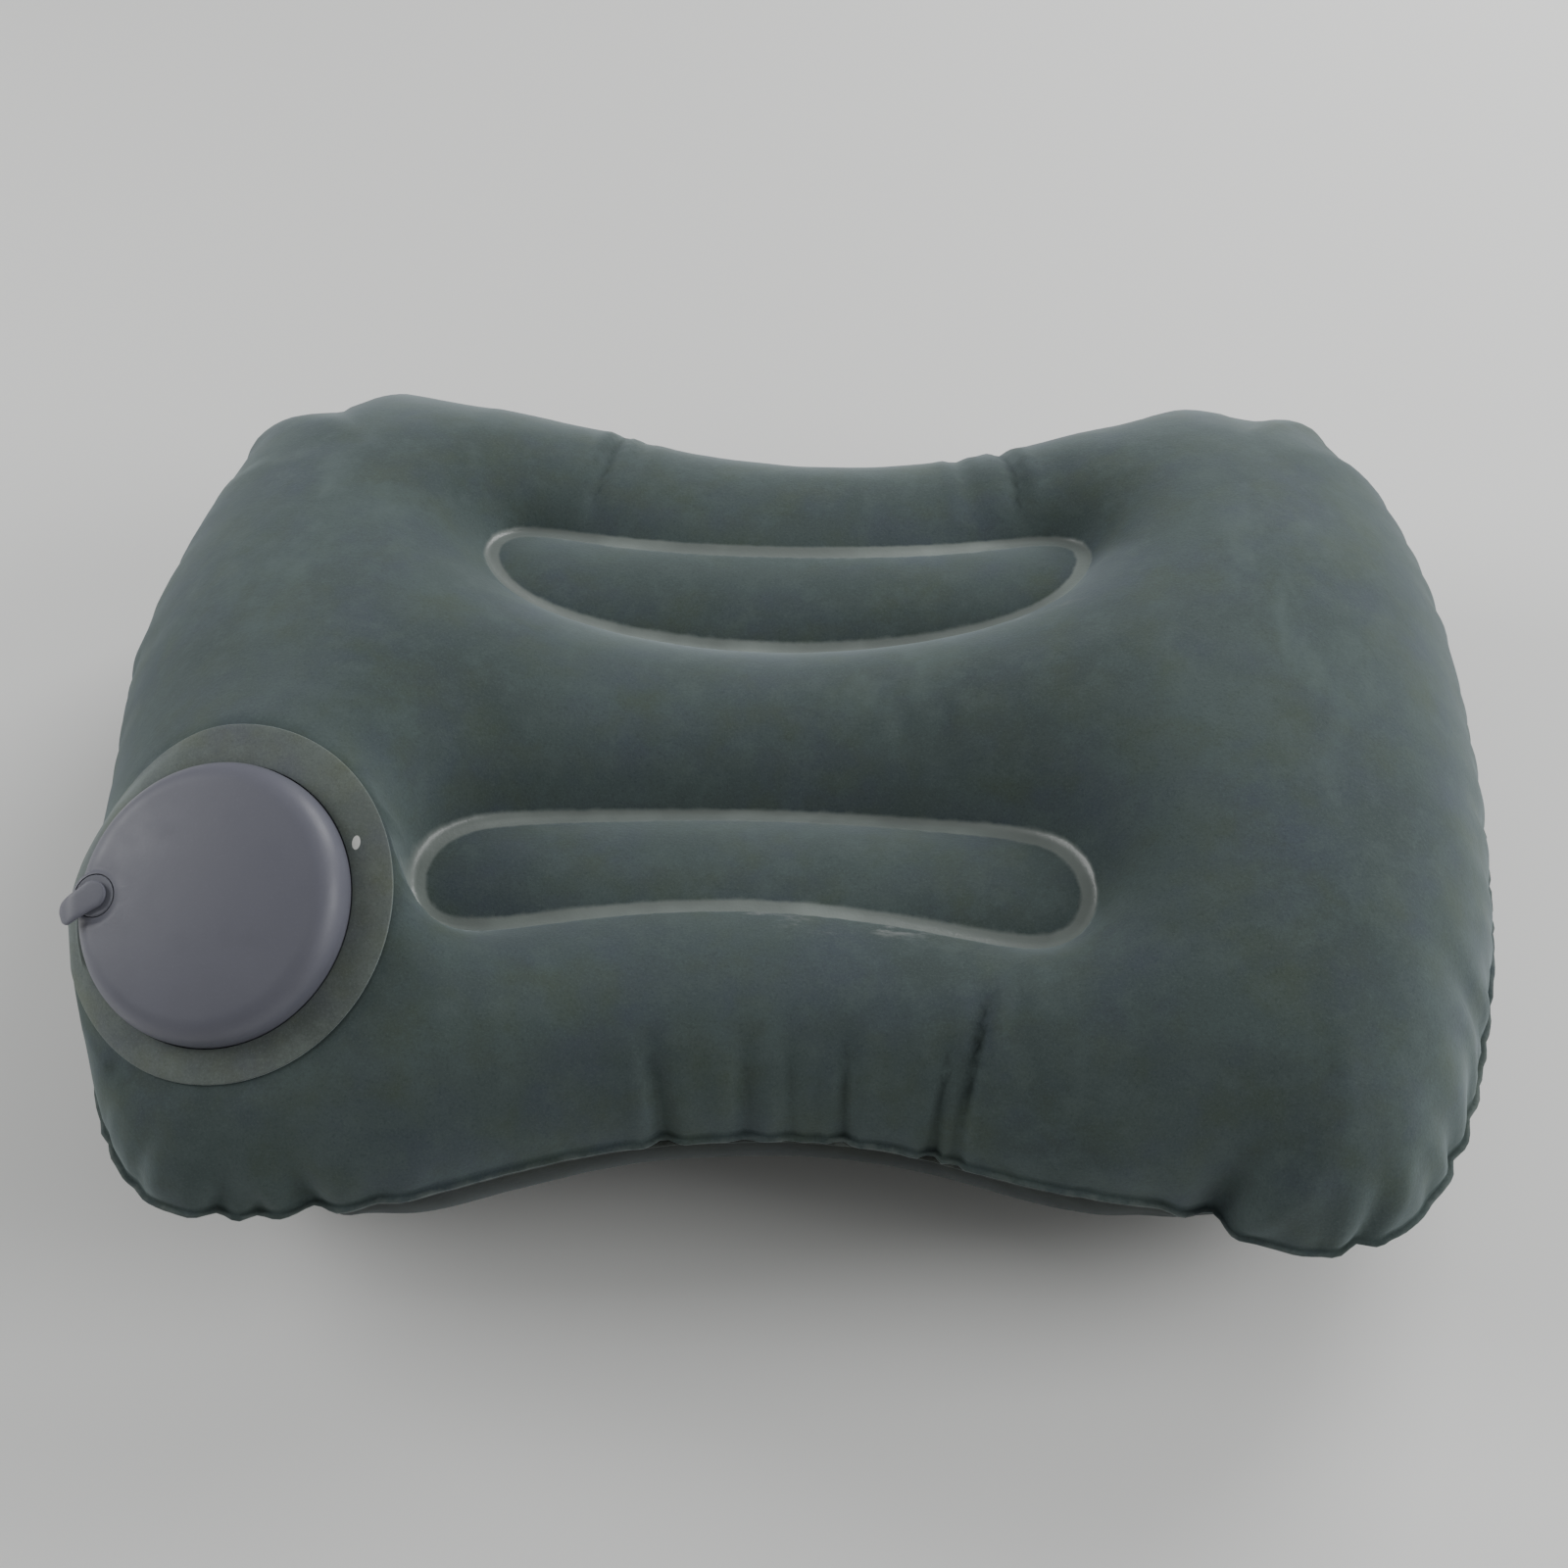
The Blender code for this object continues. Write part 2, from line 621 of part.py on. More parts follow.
def release_valve(release, collection, cutters, material):
    """The outlet in the bottom panel: a short neck on an inner flange, and a flip cap hinged to it."""
    neck_radius = RELEASE_HOLE_RADIUS - GAP
    bore = 4.5 * MM
    neck_high = 2.0 * MM
    flange_top = -FILM - GAP
    flange_low = flange_top - 1.0 * MM
    profile = [
        (neck_radius, neck_high),
        (neck_radius, flange_top),
        (15 * MM, flange_top),
        (15 * MM, flange_low),
        (bore, flange_low),
        (bore, neck_high),
    ]
    body = turned("release_valve_body", profile, collection, material, release, steps=SMALL_STEPS)
    low = (neck_radius - 1 * MM, -3 * MM, GAP)
    high = (HINGE_REACH - KNUCKLE_RADIUS - GAP, 3 * MM, neck_high - 0.4 * MM)
    lug = block("hinge_lug", low, high, cutters, release)
    boolean(body, lug, "UNION")

    lid_low = neck_high + GAP
    lid_high = lid_low + 1.4 * MM
    cap_profile = [
        (0.0, lid_high),
        (7.2 * MM, lid_high),
        (7.8 * MM, lid_high - 0.6 * MM),
        (7.8 * MM, lid_low),
        (4.0 * MM, lid_low),
        (3.6 * MM, lid_low - 2.0 * MM),
        (0.0, lid_low - 2.0 * MM),
    ]
    cap = turned("release_valve_cap", cap_profile, collection, material, release, steps=SMALL_STEPS)
    low = (6.5 * MM, -3 * MM, lid_low)
    high = (HINGE_REACH, 3 * MM, HINGE_HEIGHT + KNUCKLE_RADIUS)
    leaf = block("hinge_leaf", low, high, cutters, release)
    boolean(cap, leaf, "UNION")
    knuckle = drill("hinge_knuckle", KNUCKLE_RADIUS, 3 * MM, -3 * MM, cutters, release, 16)
    knuckle.location = (HINGE_REACH, 0, HINGE_HEIGHT)
    knuckle.rotation_euler = (math.pi / 2, 0, 0)
    boolean(cap, knuckle, "UNION")
    low = (6.5 * MM, -3.5 * MM, lid_low)
    high = (12.5 * MM, 3.5 * MM, lid_low + 1.2 * MM)
    thumb = block("thumb_tab", low, high, cutters, release, rounded_end=3 * MM)
    thumb.rotation_euler = (0, 0, math.pi)
    boolean(cap, thumb, "UNION")


def main():
    clear_scene()
    parts = new_collection("camp_pillow")
    cutters = new_collection("cutters", hidden=True)

    flock = principled("flocked_film", (0.060, 0.082, 0.084), 0.9)
    collar_flock = principled("collar_film", (0.085, 0.105, 0.098), 0.75)
    web_film = principled("web_film", (0.20, 0.22, 0.22), 0.5)
    moulding = principled("pump_moulding", (0.105, 0.108, 0.135), 0.5)
    fitting = principled("valve_moulding", (0.060, 0.066, 0.070), 0.45)
    rubber = principled("flap_rubber", (0.30, 0.30, 0.30), 0.6)
    foam = principled("foam", (0.35, 0.33, 0.24), 1.0)

    pillow = add_empty("pillow_centre", Matrix.Translation(CENTRE), parts)
    pump_frame = frame_facing(PUMP_AT, PUMP_FACING, Vector((1, 0, 0)))
    release_frame = frame_facing(RELEASE_AT, RELEASE_FACING, Vector((1, 0, 0)))
    pump_seat = Seat(pump_frame, PUMP_HOLE_RADIUS, SEAT_RADIUS)
    release_seat = Seat(release_frame, RELEASE_HOLE_RADIUS, RELEASE_SEAT_RADIUS)
    panel("top_panel", 1, pump_seat, parts, flock, pillow)
    panel("bottom_panel", -1, release_seat, parts, flock, pillow)
    tie_band("rear_tie_band", 1, parts, cutters, web_film, pillow)
    tie_band("front_tie_band", -1, parts, cutters, web_film, pillow)

    pump = add_empty("pump_axis", pump_frame, parts, pillow)
    bearing = Vector((math.cos(INTAKE_BEARING), math.sin(INTAKE_BEARING), 0))
    intake_at = bearing * INTAKE_OFFSET
    intake_floor = INTAKE_BOSS_TOP - INTAKE_POCKET_DEPTH
    intake_frame = Matrix.Translation(intake_at + Vector((0, 0, intake_floor)))
    intake = add_empty("intake_axis", intake_frame @ Matrix.Rotation(INTAKE_BEARING, 4, "Z"), parts, pump)
    pump_collar(pump, parts, collar_flock)
    pump_bulb(pump, intake_at, parts, cutters, moulding)
    pump_cup(pump, parts, moulding)
    pump_foam(pump, intake_at, parts, cutters, foam)
    outlet_valve(pump, parts, cutters, fitting, rubber)
    intake_valve(intake, parts, cutters, fitting, rubber)
    intake_plug(intake, parts, cutters, fitting)

    release = add_empty("release_axis", release_frame, parts, pillow)
    release_valve(release, parts, cutters, fitting)


main()
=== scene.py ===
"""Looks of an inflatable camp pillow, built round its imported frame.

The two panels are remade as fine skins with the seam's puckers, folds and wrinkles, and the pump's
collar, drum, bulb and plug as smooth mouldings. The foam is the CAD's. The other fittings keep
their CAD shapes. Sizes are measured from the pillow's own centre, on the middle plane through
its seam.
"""

import math

import bpy
import numpy as np
from mathutils import Matrix, Vector, noise
from mathutils.bvhtree import BVHTree
from mathutils.geometry import delaunay_2d_cdt, interpolate_bezier

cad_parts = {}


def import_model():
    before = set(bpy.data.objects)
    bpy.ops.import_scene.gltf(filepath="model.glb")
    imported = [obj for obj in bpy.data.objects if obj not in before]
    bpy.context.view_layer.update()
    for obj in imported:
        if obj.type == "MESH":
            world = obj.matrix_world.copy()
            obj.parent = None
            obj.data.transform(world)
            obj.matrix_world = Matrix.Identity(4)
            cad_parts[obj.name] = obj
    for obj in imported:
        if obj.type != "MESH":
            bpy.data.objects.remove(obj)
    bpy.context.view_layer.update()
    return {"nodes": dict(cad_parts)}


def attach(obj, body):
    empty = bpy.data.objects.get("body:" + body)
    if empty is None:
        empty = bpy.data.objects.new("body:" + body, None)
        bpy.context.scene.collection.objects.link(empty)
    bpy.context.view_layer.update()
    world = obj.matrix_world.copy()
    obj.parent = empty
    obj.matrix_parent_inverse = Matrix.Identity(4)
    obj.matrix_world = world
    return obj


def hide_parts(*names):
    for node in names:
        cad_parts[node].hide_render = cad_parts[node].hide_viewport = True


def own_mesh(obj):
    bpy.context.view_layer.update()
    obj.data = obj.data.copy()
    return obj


MM = 0.001

# Plan of the pillow from its centre to the welded seam, as in the CAD
HALF_WIDTH = 225 * MM
WAIST_HALF_DEPTH = 141.5 * MM
LOBE_HALF_DEPTH = 167.5 * MM
LOBE_PEAK_X = 158 * MM
WAIST_HANDLE = 0.45
RISE_HANDLE = 0.67
CORNER_HANDLE = 0.59
SIDE_HANDLE = 0.68
QUARTER_STEPS = 160
FLANGE_WIDTH = 2 * MM
# Where the seam differs from its even outline, in mm: place, shift there, and reach
SWELLS = (
    ((-205, 118), (-11, 12), 55),
    ((-230, 28), (-7, 0), 30),
    ((-80, 158), (0, 5), 45),
    ((140, 168), (2, 6), 50),
    ((-195, -150), (-1, -1), 24),
    ((-145, -169), (0, 4), 22),
    ((-105, -160), (0, -3), 16),
    ((-38, -142), (0, 1.5), 20),
    ((28, -142), (0, 5.5), 42),
    ((129, -163), (0, 12), 17),
    ((95, -157), (0, 2), 15),
    ((168, -166), (0, 3), 18),
)
MIDDLE_Z = 64 * MM
CENTRE = Vector((4.53 * MM, -4.74 * MM, MIDDLE_Z))

# Heights from the middle plane, and the crescent welds
FULLNESS = 0.88
CRESCENT_X = -6.7 * MM
CRESCENT_LENGTH = 205 * MM
CRESCENT_WIDTH = 41 * MM
CRESCENT_MIDDLE_Y = 57.6 * MM
CRESCENT_BOW = 15.7 * MM
CRESCENT_END_POWER = 10
CRESCENT_SMOOTHINGS = 12
TIE_HALF_HEIGHT = 32 * MM
TIE_END_RISE = 7 * MM
TIE_LEAN = 0.15
TIE_LEAN_TURN = 2.5
WELD_WIDTH = 3.8 * MM

# Skins
FILM = 0.45 * MM
FILM_GAP = 0.05 * MM
SEAM_SPACING = 2.5 * MM
WELD_SPACING = 3.0 * MM
FILL_SPACING = 3.5 * MM
FILL_CLEAR = 0.62 * FILL_SPACING
RING_CLEAR = 0.3 * FILL_SPACING
STRIP_DEPTH = 7 * MM
STRIP_ROWS = 10
WELD_ROWS = (3.4 * MM, 2.6 * MM, 0.5 * WELD_WIDTH, 0.0, -0.5 * WELD_WIDTH, -2.9 * MM, -4.4 * MM)

# How much of the flock is melted flat, on each row across a weld, and from the flange's edge inwards.
# Along the flange the pale melt is partly a painted highlight on a fold that lies in shade.
WELD_PRESSED = (0.0, 0.35, 0.9, 1.0, 0.9, 0.35, 0.0)
FLANGE_MELTED_AND_LIT = (0.38, 0.3, 0.2, 0.0)

# Pump and release valve
PUMP_FACING = Vector((-0.19, -0.52, 1.0)).normalized()
PUMP_AT = Vector((-163 * MM, -94 * MM, 51 * MM))
COLLAR_RADIUS = 54.9 * MM
CUP_FLANGE_RADIUS = 53 * MM
COLLAR_LOW = 0.12 * MM
COLLAR_HIGH = 0.75 * MM
# The skin is held to the pump's plane from its hole out to the seat radius, but not over the seam
SEAT_RADIUS = 55.9 * MM
SEAT_CLEAR = 1.2 * MM
HOLE_RADIUS = 46.4 * MM
# The collar curls down from this reach, on one radius at its left and another elsewhere
CURL_START = 41 * MM
CURL_LEFT = 10 * MM
CURL_REST = 120 * MM
BULB_RADIUS = 43 * MM
BULB_SHIFT = Vector((-0.8 * MM, -1.2 * MM))
BULB_GAP = 0.3 * MM
CUP_INNER = 45 * MM
BULB_HEIGHT = 13.5 * MM
BULB_SHOULDER = 8.5 * MM
BULB_CROWN = 2.2 * MM
BULB_CROWN_POWER = 2.2
BULB_LEAN = math.radians(8)
BULB_SKIRT = 2.2 * MM
BULB_WALL = 1.0 * MM
CUP_DEPTH = 16 * MM
CUP_WALL = 1.0 * MM
CUP_FLANGE_TOP = -1.1 * MM
OUTLET_HOLE_RADIUS = 8.3 * MM
INTAKE_OFFSET = 35 * MM
INTAKE_BEARING = math.radians(181)
INTAKE_BOSS_TOP = 12.1 * MM
INTAKE_BOSS_RADIUS = 7.5 * MM
INTAKE_POCKET_RADIUS = 6.7 * MM
INTAKE_FLOOR = 11.3 * MM
INTAKE_HOLE_RADIUS = 4.9 * MM
PLUG_LOW = INTAKE_FLOOR + 1.4 * MM
PLUG_THICKNESS = 1.3 * MM
PLUG_NOSE = INTAKE_FLOOR - 0.9 * MM
PLUG_STEM_RADIUS = 2.9 * MM
TAB_TURN = math.radians(31)
TAB_REACH = 12.5 * MM
TAB_HALF_WIDTH = 4.0 * MM
TAB_ROUND_END = 4.4 * MM
TAB_BEND = 0.06 / MM
TAB_BEND_START = 40 * MM
RELEASE_AT = Vector((-128 * MM, 146 * MM, -37 * MM))
RELEASE_FACING = Vector((-0.12, 0.87, -1.0)).normalized()
RELEASE_HOLE_RADIUS = 7 * MM
RELEASE_SEAT_RADIUS = 17 * MM

# Folds that run up from the seam, in mm: where on the seam, depth, width, length, and slant along it.
# A fold of negative depth is a ridge. The edge share is how much of a fold's depth is left at the seam.
SEAM_FOLDS = (
    ((131, -158), 5.5, 4.5, 42, 0.35),
    ((173, -164), 2.8, 3.2, 20, 0.35),
    ((205, -132), 2.0, 3.0, 24, -0.2),
    ((212, -118), 1.4, 3.0, 26, 0.3),
    ((-163, -166), 3.0, 3.6, 18, 0.4),
    ((-131, -167), 3.0, 4.0, 18, -0.3),
    ((-150, -168), 1.5, 3.0, 12, 0.1),
    ((-112, -165), 1.3, 4.0, 14, 0.1),
    ((-206, 140), -5.5, 6.0, 60, 0.0),
    ((-184, 155), 1.5, 6.0, 50, 0.0),
    ((-155, 166), -3.6, 5.0, 50, 0.0),
    ((-76, 147), -2.0, 5.0, 30, 0.0),
    ((132, 163), -3.6, 5.0, 45, 0.0),
    ((155, 166), 1.2, 7.0, 45, 0.0),
    ((178, 158), -3.8, 5.5, 50, 0.0),
    ((197, 138), 1.5, 5.0, 40, 0.0),
)

FOLD_EDGE_SHARE = 0.8
FOLD_REACH = 40 * MM
FOLD_WIDENS_OVER = 25 * MM
FOLD_FOOT = 5 * MM
LIFT_SHARE = 0.45
LIFT_FADE = 9 * MM
LIP_SHARE = 0.3
LIP_AT = 2.1
LIP_WIDTH = 0.9

# Small gathers between those folds, in mm: what they have anywhere, and what is added at a corner, at
# one of the two ends, and on the plain stretches between
GATHER_PITCH = (9.5, 5, 0, 9)
GATHER_DEPTH = (0.35, 0.7, 0.85, 0)
GATHER_WIDTH = (2.0, 0.8, 0, 0)
GATHER_LENGTH = (11, 9, 13, 0)
GATHER_SEED = 12
GATHER_EDGE_SHARE = 0.4
GATHER_CLEAR = 6 * MM
GATHER_START = 3 * MM
CORNER_AT = (185, 150)
CORNER_REACH = (38, 34)
END_X = 195

# The seam's droop at the two near corners, how far up the wall it fades out, and how far the
# underside is tucked in below it
SAG = 8 * MM
SAG_START = 95 * MM
SAG_START_Y = 60 * MM
SAG_RUN = 45 * MM
SAG_FADE_TOP = 55 * MM
SAG_FADE_BOTTOM = 28 * MM
TUCK = 3.5 * MM
TUCK_RUN = 15 * MM
TUCK_END = 50 * MM
TUCK_FADE = 40 * MM

# How far from the pump, the seam and the welds the folds and the unevenness reach full depth
SEAT_CALM = 2 * MM
SEAT_FADE = 24 * MM
WELD_CALM = 1 * MM
WELD_FADE = 8 * MM
SEAM_FADE = 12 * MM
LEVEL_NEAR_SEAM = 6 * MM
# Unevenness of the skins: depth, repeats to the metre, and seed
UNEVEN = ((0.5 * MM, 22, 3), (0.18 * MM, 70, 9))

WRINKLE_BEND = 0.04
# Wrinkles in the top panel, in mm, from one plan point to another: depth and width
WRINKLES = (
    ((66, -106), (55, -150), 3.6, 2.3),
    ((57, -122), (46, -152), 2.6, 2.5),
    ((76, -100), (72, -130), 1.3, 2.4),
    ((-34, -122), (-28, -152), 2.3, 3.2),
    ((-5, -118), (-6, -143), 1.6, 3.2),
    ((25, -118), (22, -145), 2.0, 2.6),
    ((17, -120), (16, -142), 0.9, 2.4),
    ((8, -116), (8, -140), 1.1, 2.8),
    ((-86, -108), (-87, -142), 0.9, 4.0),
    ((-74, -100), (-80, -124), 0.6, 4.0),
    ((-72, 150), (-79, 88), 2.9, 2.4),
    ((-64, 150), (-69, 100), 1.0, 3.0),
    ((62, 150), (74, 82), 2.8, 2.5),
    ((46, 146), (57, 88), 1.6, 2.6),
    ((90, 120), (84, 96), 0.6, 3.0),
    ((50, -4), (48, -32), 0.9, 2.6),
    ((36, -6), (38, -28), 0.7, 2.4),
    ((110, 60), (98, 84), 0.5, 4.0),
    ((110, -60), (98, -88), 0.5, 4.0),
)

# Where the top panel stands proud of its even shape, in mm: place, height and reach
SWELLINGS = (
    ((-196, 112), 2.0, 16),
    ((176, 122), 1.5, 12),
    ((152, -152), 2.6, 11),
    ((178, -150), 1.2, 9),
    ((-146, -160), 1.4, 10),
    ((-176, -158), 1.4, 10),
)


# ------------------------ plan outlines


def resample(points, spacing):
    points = np.array(points)
    ring = np.vstack([points, points[:1]])
    along = np.concatenate([[0.0], np.cumsum(np.linalg.norm(np.diff(ring, axis=0), axis=1))])
    count = max(8, round(along[-1] / spacing))
    at = np.linspace(0.0, along[-1], count, endpoint=False)
    return np.column_stack([np.interp(at, along, ring[:, k]) for k in (0, 1)])


def seam_outline(spacing):
    waist = Vector((0.0, WAIST_HALF_DEPTH))
    peak = Vector((LOBE_PEAK_X, LOBE_HALF_DEPTH))
    end = Vector((HALF_WIDTH, 0.0))
    waist_handle = Vector((WAIST_HANDLE * LOBE_PEAK_X, WAIST_HALF_DEPTH))
    rise_handle = Vector((RISE_HANDLE * LOBE_PEAK_X, LOBE_HALF_DEPTH))
    corner_handle = Vector((LOBE_PEAK_X + CORNER_HANDLE * (HALF_WIDTH - LOBE_PEAK_X), LOBE_HALF_DEPTH))
    side_handle = Vector((HALF_WIDTH, SIDE_HANDLE * LOBE_HALF_DEPTH))
    quarter = interpolate_bezier(waist, waist_handle, rise_handle, peak, QUARTER_STEPS)[:-1]
    quarter += interpolate_bezier(peak, corner_handle, side_handle, end, QUARTER_STEPS)
    quarter = [(p.x, p.y) for p in quarter]
    half = quarter + [(x, -y) for x, y in reversed(quarter[:-1])]
    whole = np.array(half + [(-x, y) for x, y in reversed(half[1:-1])])
    shifts = np.zeros_like(whole)
    for place, shift, reach in SWELLS:
        from_place = ((whole - np.array(place) * MM) ** 2).sum(axis=1)
        shifts += np.exp(-0.5 * from_place / (reach * MM) ** 2)[:, None] * np.array(shift) * MM
    return resample((whole + shifts)[::-1], spacing)


def outward_of(loop):
    ahead = np.roll(loop, -1, axis=0) - np.roll(loop, 1, axis=0)
    outward = np.column_stack([ahead[:, 1], -ahead[:, 0]])
    return outward / np.linalg.norm(outward, axis=1)[:, None]


def grown(loop, distance):
    return loop + distance * outward_of(loop)


def crescent_outline(side, spacing):
    turn = np.linspace(0.0, 2 * math.pi, 900, endpoint=False)
    share = np.cos(turn)
    half_width = 0.5 * CRESCENT_WIDTH * np.sqrt(np.clip(1 - np.abs(share) ** CRESCENT_END_POWER, 0, 1))
    x = CRESCENT_X + 0.5 * CRESCENT_LENGTH * share
    y = CRESCENT_MIDDLE_Y + CRESCENT_BOW * share**2 + np.sign(np.sin(turn)) * half_width
    loop = np.column_stack([x, side * y])
    loop = resample(loop if side > 0 else loop[::-1], 0.25 * spacing)
    for _ in range(CRESCENT_SMOOTHINGS):
        loop = 0.5 * loop + 0.25 * (np.roll(loop, 1, axis=0) + np.roll(loop, -1, axis=0))
    return resample(loop, spacing)


def tie_height(x, y):
    along = np.clip((x - CRESCENT_X) / (0.5 * CRESCENT_LENGTH), -1, 1)
    lean = TIE_LEAN * (1 - TIE_LEAN_TURN * along**2)
    off_middle = np.abs(y) - CRESCENT_MIDDLE_Y - CRESCENT_BOW * along**2
    return TIE_HALF_HEIGHT + TIE_END_RISE * along**4 + lean * off_middle


def facing_frame(point, facing):
    across = Vector((1, 0, 0))
    across = (across - facing * across.dot(facing)).normalized()
    rotation = Matrix((across, facing.cross(across), facing)).transposed()
    return Matrix.Translation(point) @ rotation.to_4x4()


def circle_in_plan(placed, radius, count):
    angles = [2 * math.pi * k / count for k in range(count)]
    points = [placed @ Vector((radius * math.cos(a), radius * math.sin(a), 0)) for a in angles]
    loop = np.array([(p.x, p.y) for p in points])
    crossed = np.cross(loop, np.roll(loop, -1, axis=0)).sum()
    return loop if crossed > 0 else loop[::-1]


def inside(loop, points):
    x, y = points[:, 0], points[:, 1]
    found = np.zeros(len(points), bool)
    for (x0, y0), (x1, y1) in zip(loop, np.roll(loop, -1, axis=0)):
        if y0 == y1:
            continue
        crosses = (y0 > y) != (y1 > y)
        found ^= crosses & (x < (x1 - x0) * (y - y0) / (y1 - y0) + x0)
    return found


def nearest_on(loop, points):
    """Distance to the loop's nearest point and that point's index, for each of the points."""
    distance = np.empty(len(points))
    index = np.empty(len(points), int)
    for start in range(0, len(points), 2000):
        gap = np.linalg.norm(points[start : start + 2000, None] - loop[None], axis=2)
        index[start : start + 2000] = gap.argmin(axis=1)
        distance[start : start + 2000] = gap.min(axis=1)
    return distance, index


def smooth(value):
    value = np.clip(value, 0, 1)
    return value * value * (3 - 2 * value)


# ------------------------ skins


class Seat:
    """A round place in a skin, where a fitting goes through it. It is flat, or curls down towards its rim."""

    def __init__(self, placed, hole_radius, seat_radius, curled=False):
        self.placed = placed
        self.seat_radius = seat_radius
        self.curled = curled
        self.rings = []
        for radius in np.linspace(seat_radius, hole_radius, 4):
            count = max(24, round(2 * math.pi * radius / FILL_SPACING))
            self.rings.append(circle_in_plan(placed, radius, count))

    def offsets(self, points):
        """For points in plan: distance from the seat's axis along its plane, and the height there."""
        across, _, facing = self.placed.to_3x3().col
        middle = self.placed.translation
        run = points - np.array(middle.xy)
        drop = run @ np.array(facing.xy) / facing.z
        reach = np.sqrt((run**2).sum(axis=1) + drop**2)
        height = middle.z - drop
        if self.curled:
            x = run @ np.array(across.xy) - drop * across.z
            height = height - curl(x, reach) / facing.z
        return reach, height


def curl(x, reach):
    """How far the film falls away from the pump's plane towards the collar's rim, mostly at its left."""
    left = smooth(-x / np.maximum(reach, 1 * MM))
    sharpness = left / CURL_LEFT + (1 - left) / CURL_REST
    return 0.5 * sharpness * np.clip(reach - CURL_START, 0, None) ** 2


class Plan:
    """Points and triangles of a skin's plan: rows that close up towards every weld, and an even fill."""

    def __init__(self, seam, seat):
        self.points = np.zeros((0, 2))
        self.faces = []
        self.weld_rows = []
        self.pressed = {}
        depths = STRIP_DEPTH * (np.arange(1, STRIP_ROWS + 1) / STRIP_ROWS) ** 2
        offsets = [FLANGE_WIDTH, 0.5 * FLANGE_WIDTH, 0.2 * MM, 0.0] + [-d for d in depths]
        seam_rows = self.add_rows([grown(seam, off) for off in offsets])
        # On the flange the pale melt is partly a painted highlight on the shaded fold.
        for row, share in zip(seam_rows, FLANGE_MELTED_AND_LIT):
            self.pressed.update(dict.fromkeys(row.tolist(), share))
        loops = [seam_rows[-1]]
        between = []
        for side in (1, -1):
            middle = crescent_outline(side, WELD_SPACING)
            rows = self.add_rows([grown(middle, off) for off in WELD_ROWS])
            held = [row for row, off in zip(rows, WELD_ROWS) if abs(off) <= 0.5 * WELD_WIDTH + 1e-9]
            self.weld_rows.append(held)
            for row, share in zip(rows, WELD_PRESSED):
                self.pressed.update(dict.fromkeys(row.tolist(), share))
            loops += [rows[0], rows[-1]]
            between.append((rows[0], rows[-1]))
        self.fill(loops, between, seat)

    def add_rows(self, rows):
        """Adds loops of equal count with triangles between them, and gives their point numbers."""
        start, count = len(self.points), len(rows[0])
        self.points = np.vstack([self.points, *rows])
        step = np.arange(count)
        numbers = [start + r * count + step for r in range(len(rows))]
        for outer, inner in zip(numbers, numbers[1:]):
            after = np.roll(outer, -1)
            self.faces.append(np.column_stack([outer, after, np.roll(inner, -1)]))
            self.faces.append(np.column_stack([outer, np.roll(inner, -1), inner]))
        return numbers

    def fill(self, loops, between, seat):
        spread = FILL_SPACING * math.sqrt(0.75)
        ys = np.arange(-0.2, 0.2, spread)
        xs = np.arange(-0.25, 0.25, FILL_SPACING)
        grid = np.array([(x + 0.5 * FILL_SPACING * (k % 2), y) for k, y in enumerate(ys) for x in xs])
        grid = grid[inside(self.points[loops[0]], grid)]
        outlines = [self.points[loop] for loop in loops] + seat.rings
        kept = [np.ones(len(loop), bool) for loop in loops]
        kept += [inside(outlines[0], ring) & (nearest_on(outlines[0], ring)[0] > RING_CLEAR)
                 for ring in seat.rings]
        fixed = np.vstack([outline[clear] for outline, clear in zip(outlines, kept)])
        grid = grid[nearest_on(fixed, grid)[0] > FILL_CLEAR]
        edges = []
        start = 0
        for clear in kept:
            number = start + np.cumsum(clear) - 1
            both = [k for k in range(len(clear)) if clear[k - 1] and clear[k]]
            edges += [(int(number[k - 1]), int(number[k])) for k in both]
            start += int(clear.sum())
        plan = [Vector(p) for p in np.vstack([fixed, grid])]
        plan, _, faces, *_ = delaunay_2d_cdt(plan, edges, [], 1, 1e-8)
        plan = np.array([tuple(p) for p in plan])
        faces = np.array([tuple(f) for f in faces])
        middles = plan[faces].mean(axis=1)
        dropped = inside(seat.rings[-1], middles)
        for outer, inner in between:
            dropped |= inside(self.points[outer], middles) & ~inside(self.points[inner], middles)
        faces = faces[~dropped]
        kept, faces = np.unique(faces, return_inverse=True)
        faces = faces.reshape(-1, 3)
        plan = plan[kept]
        known = np.concatenate(loops)
        gap, index = nearest_on(self.points[known], plan)
        fresh = gap > 1e-7
        numbers = known[index]
        numbers[fresh] = len(self.points) + np.arange(fresh.sum())
        self.points = np.vstack([self.points, plan[fresh]])
        self.faces = np.vstack([*self.faces, numbers[faces]])


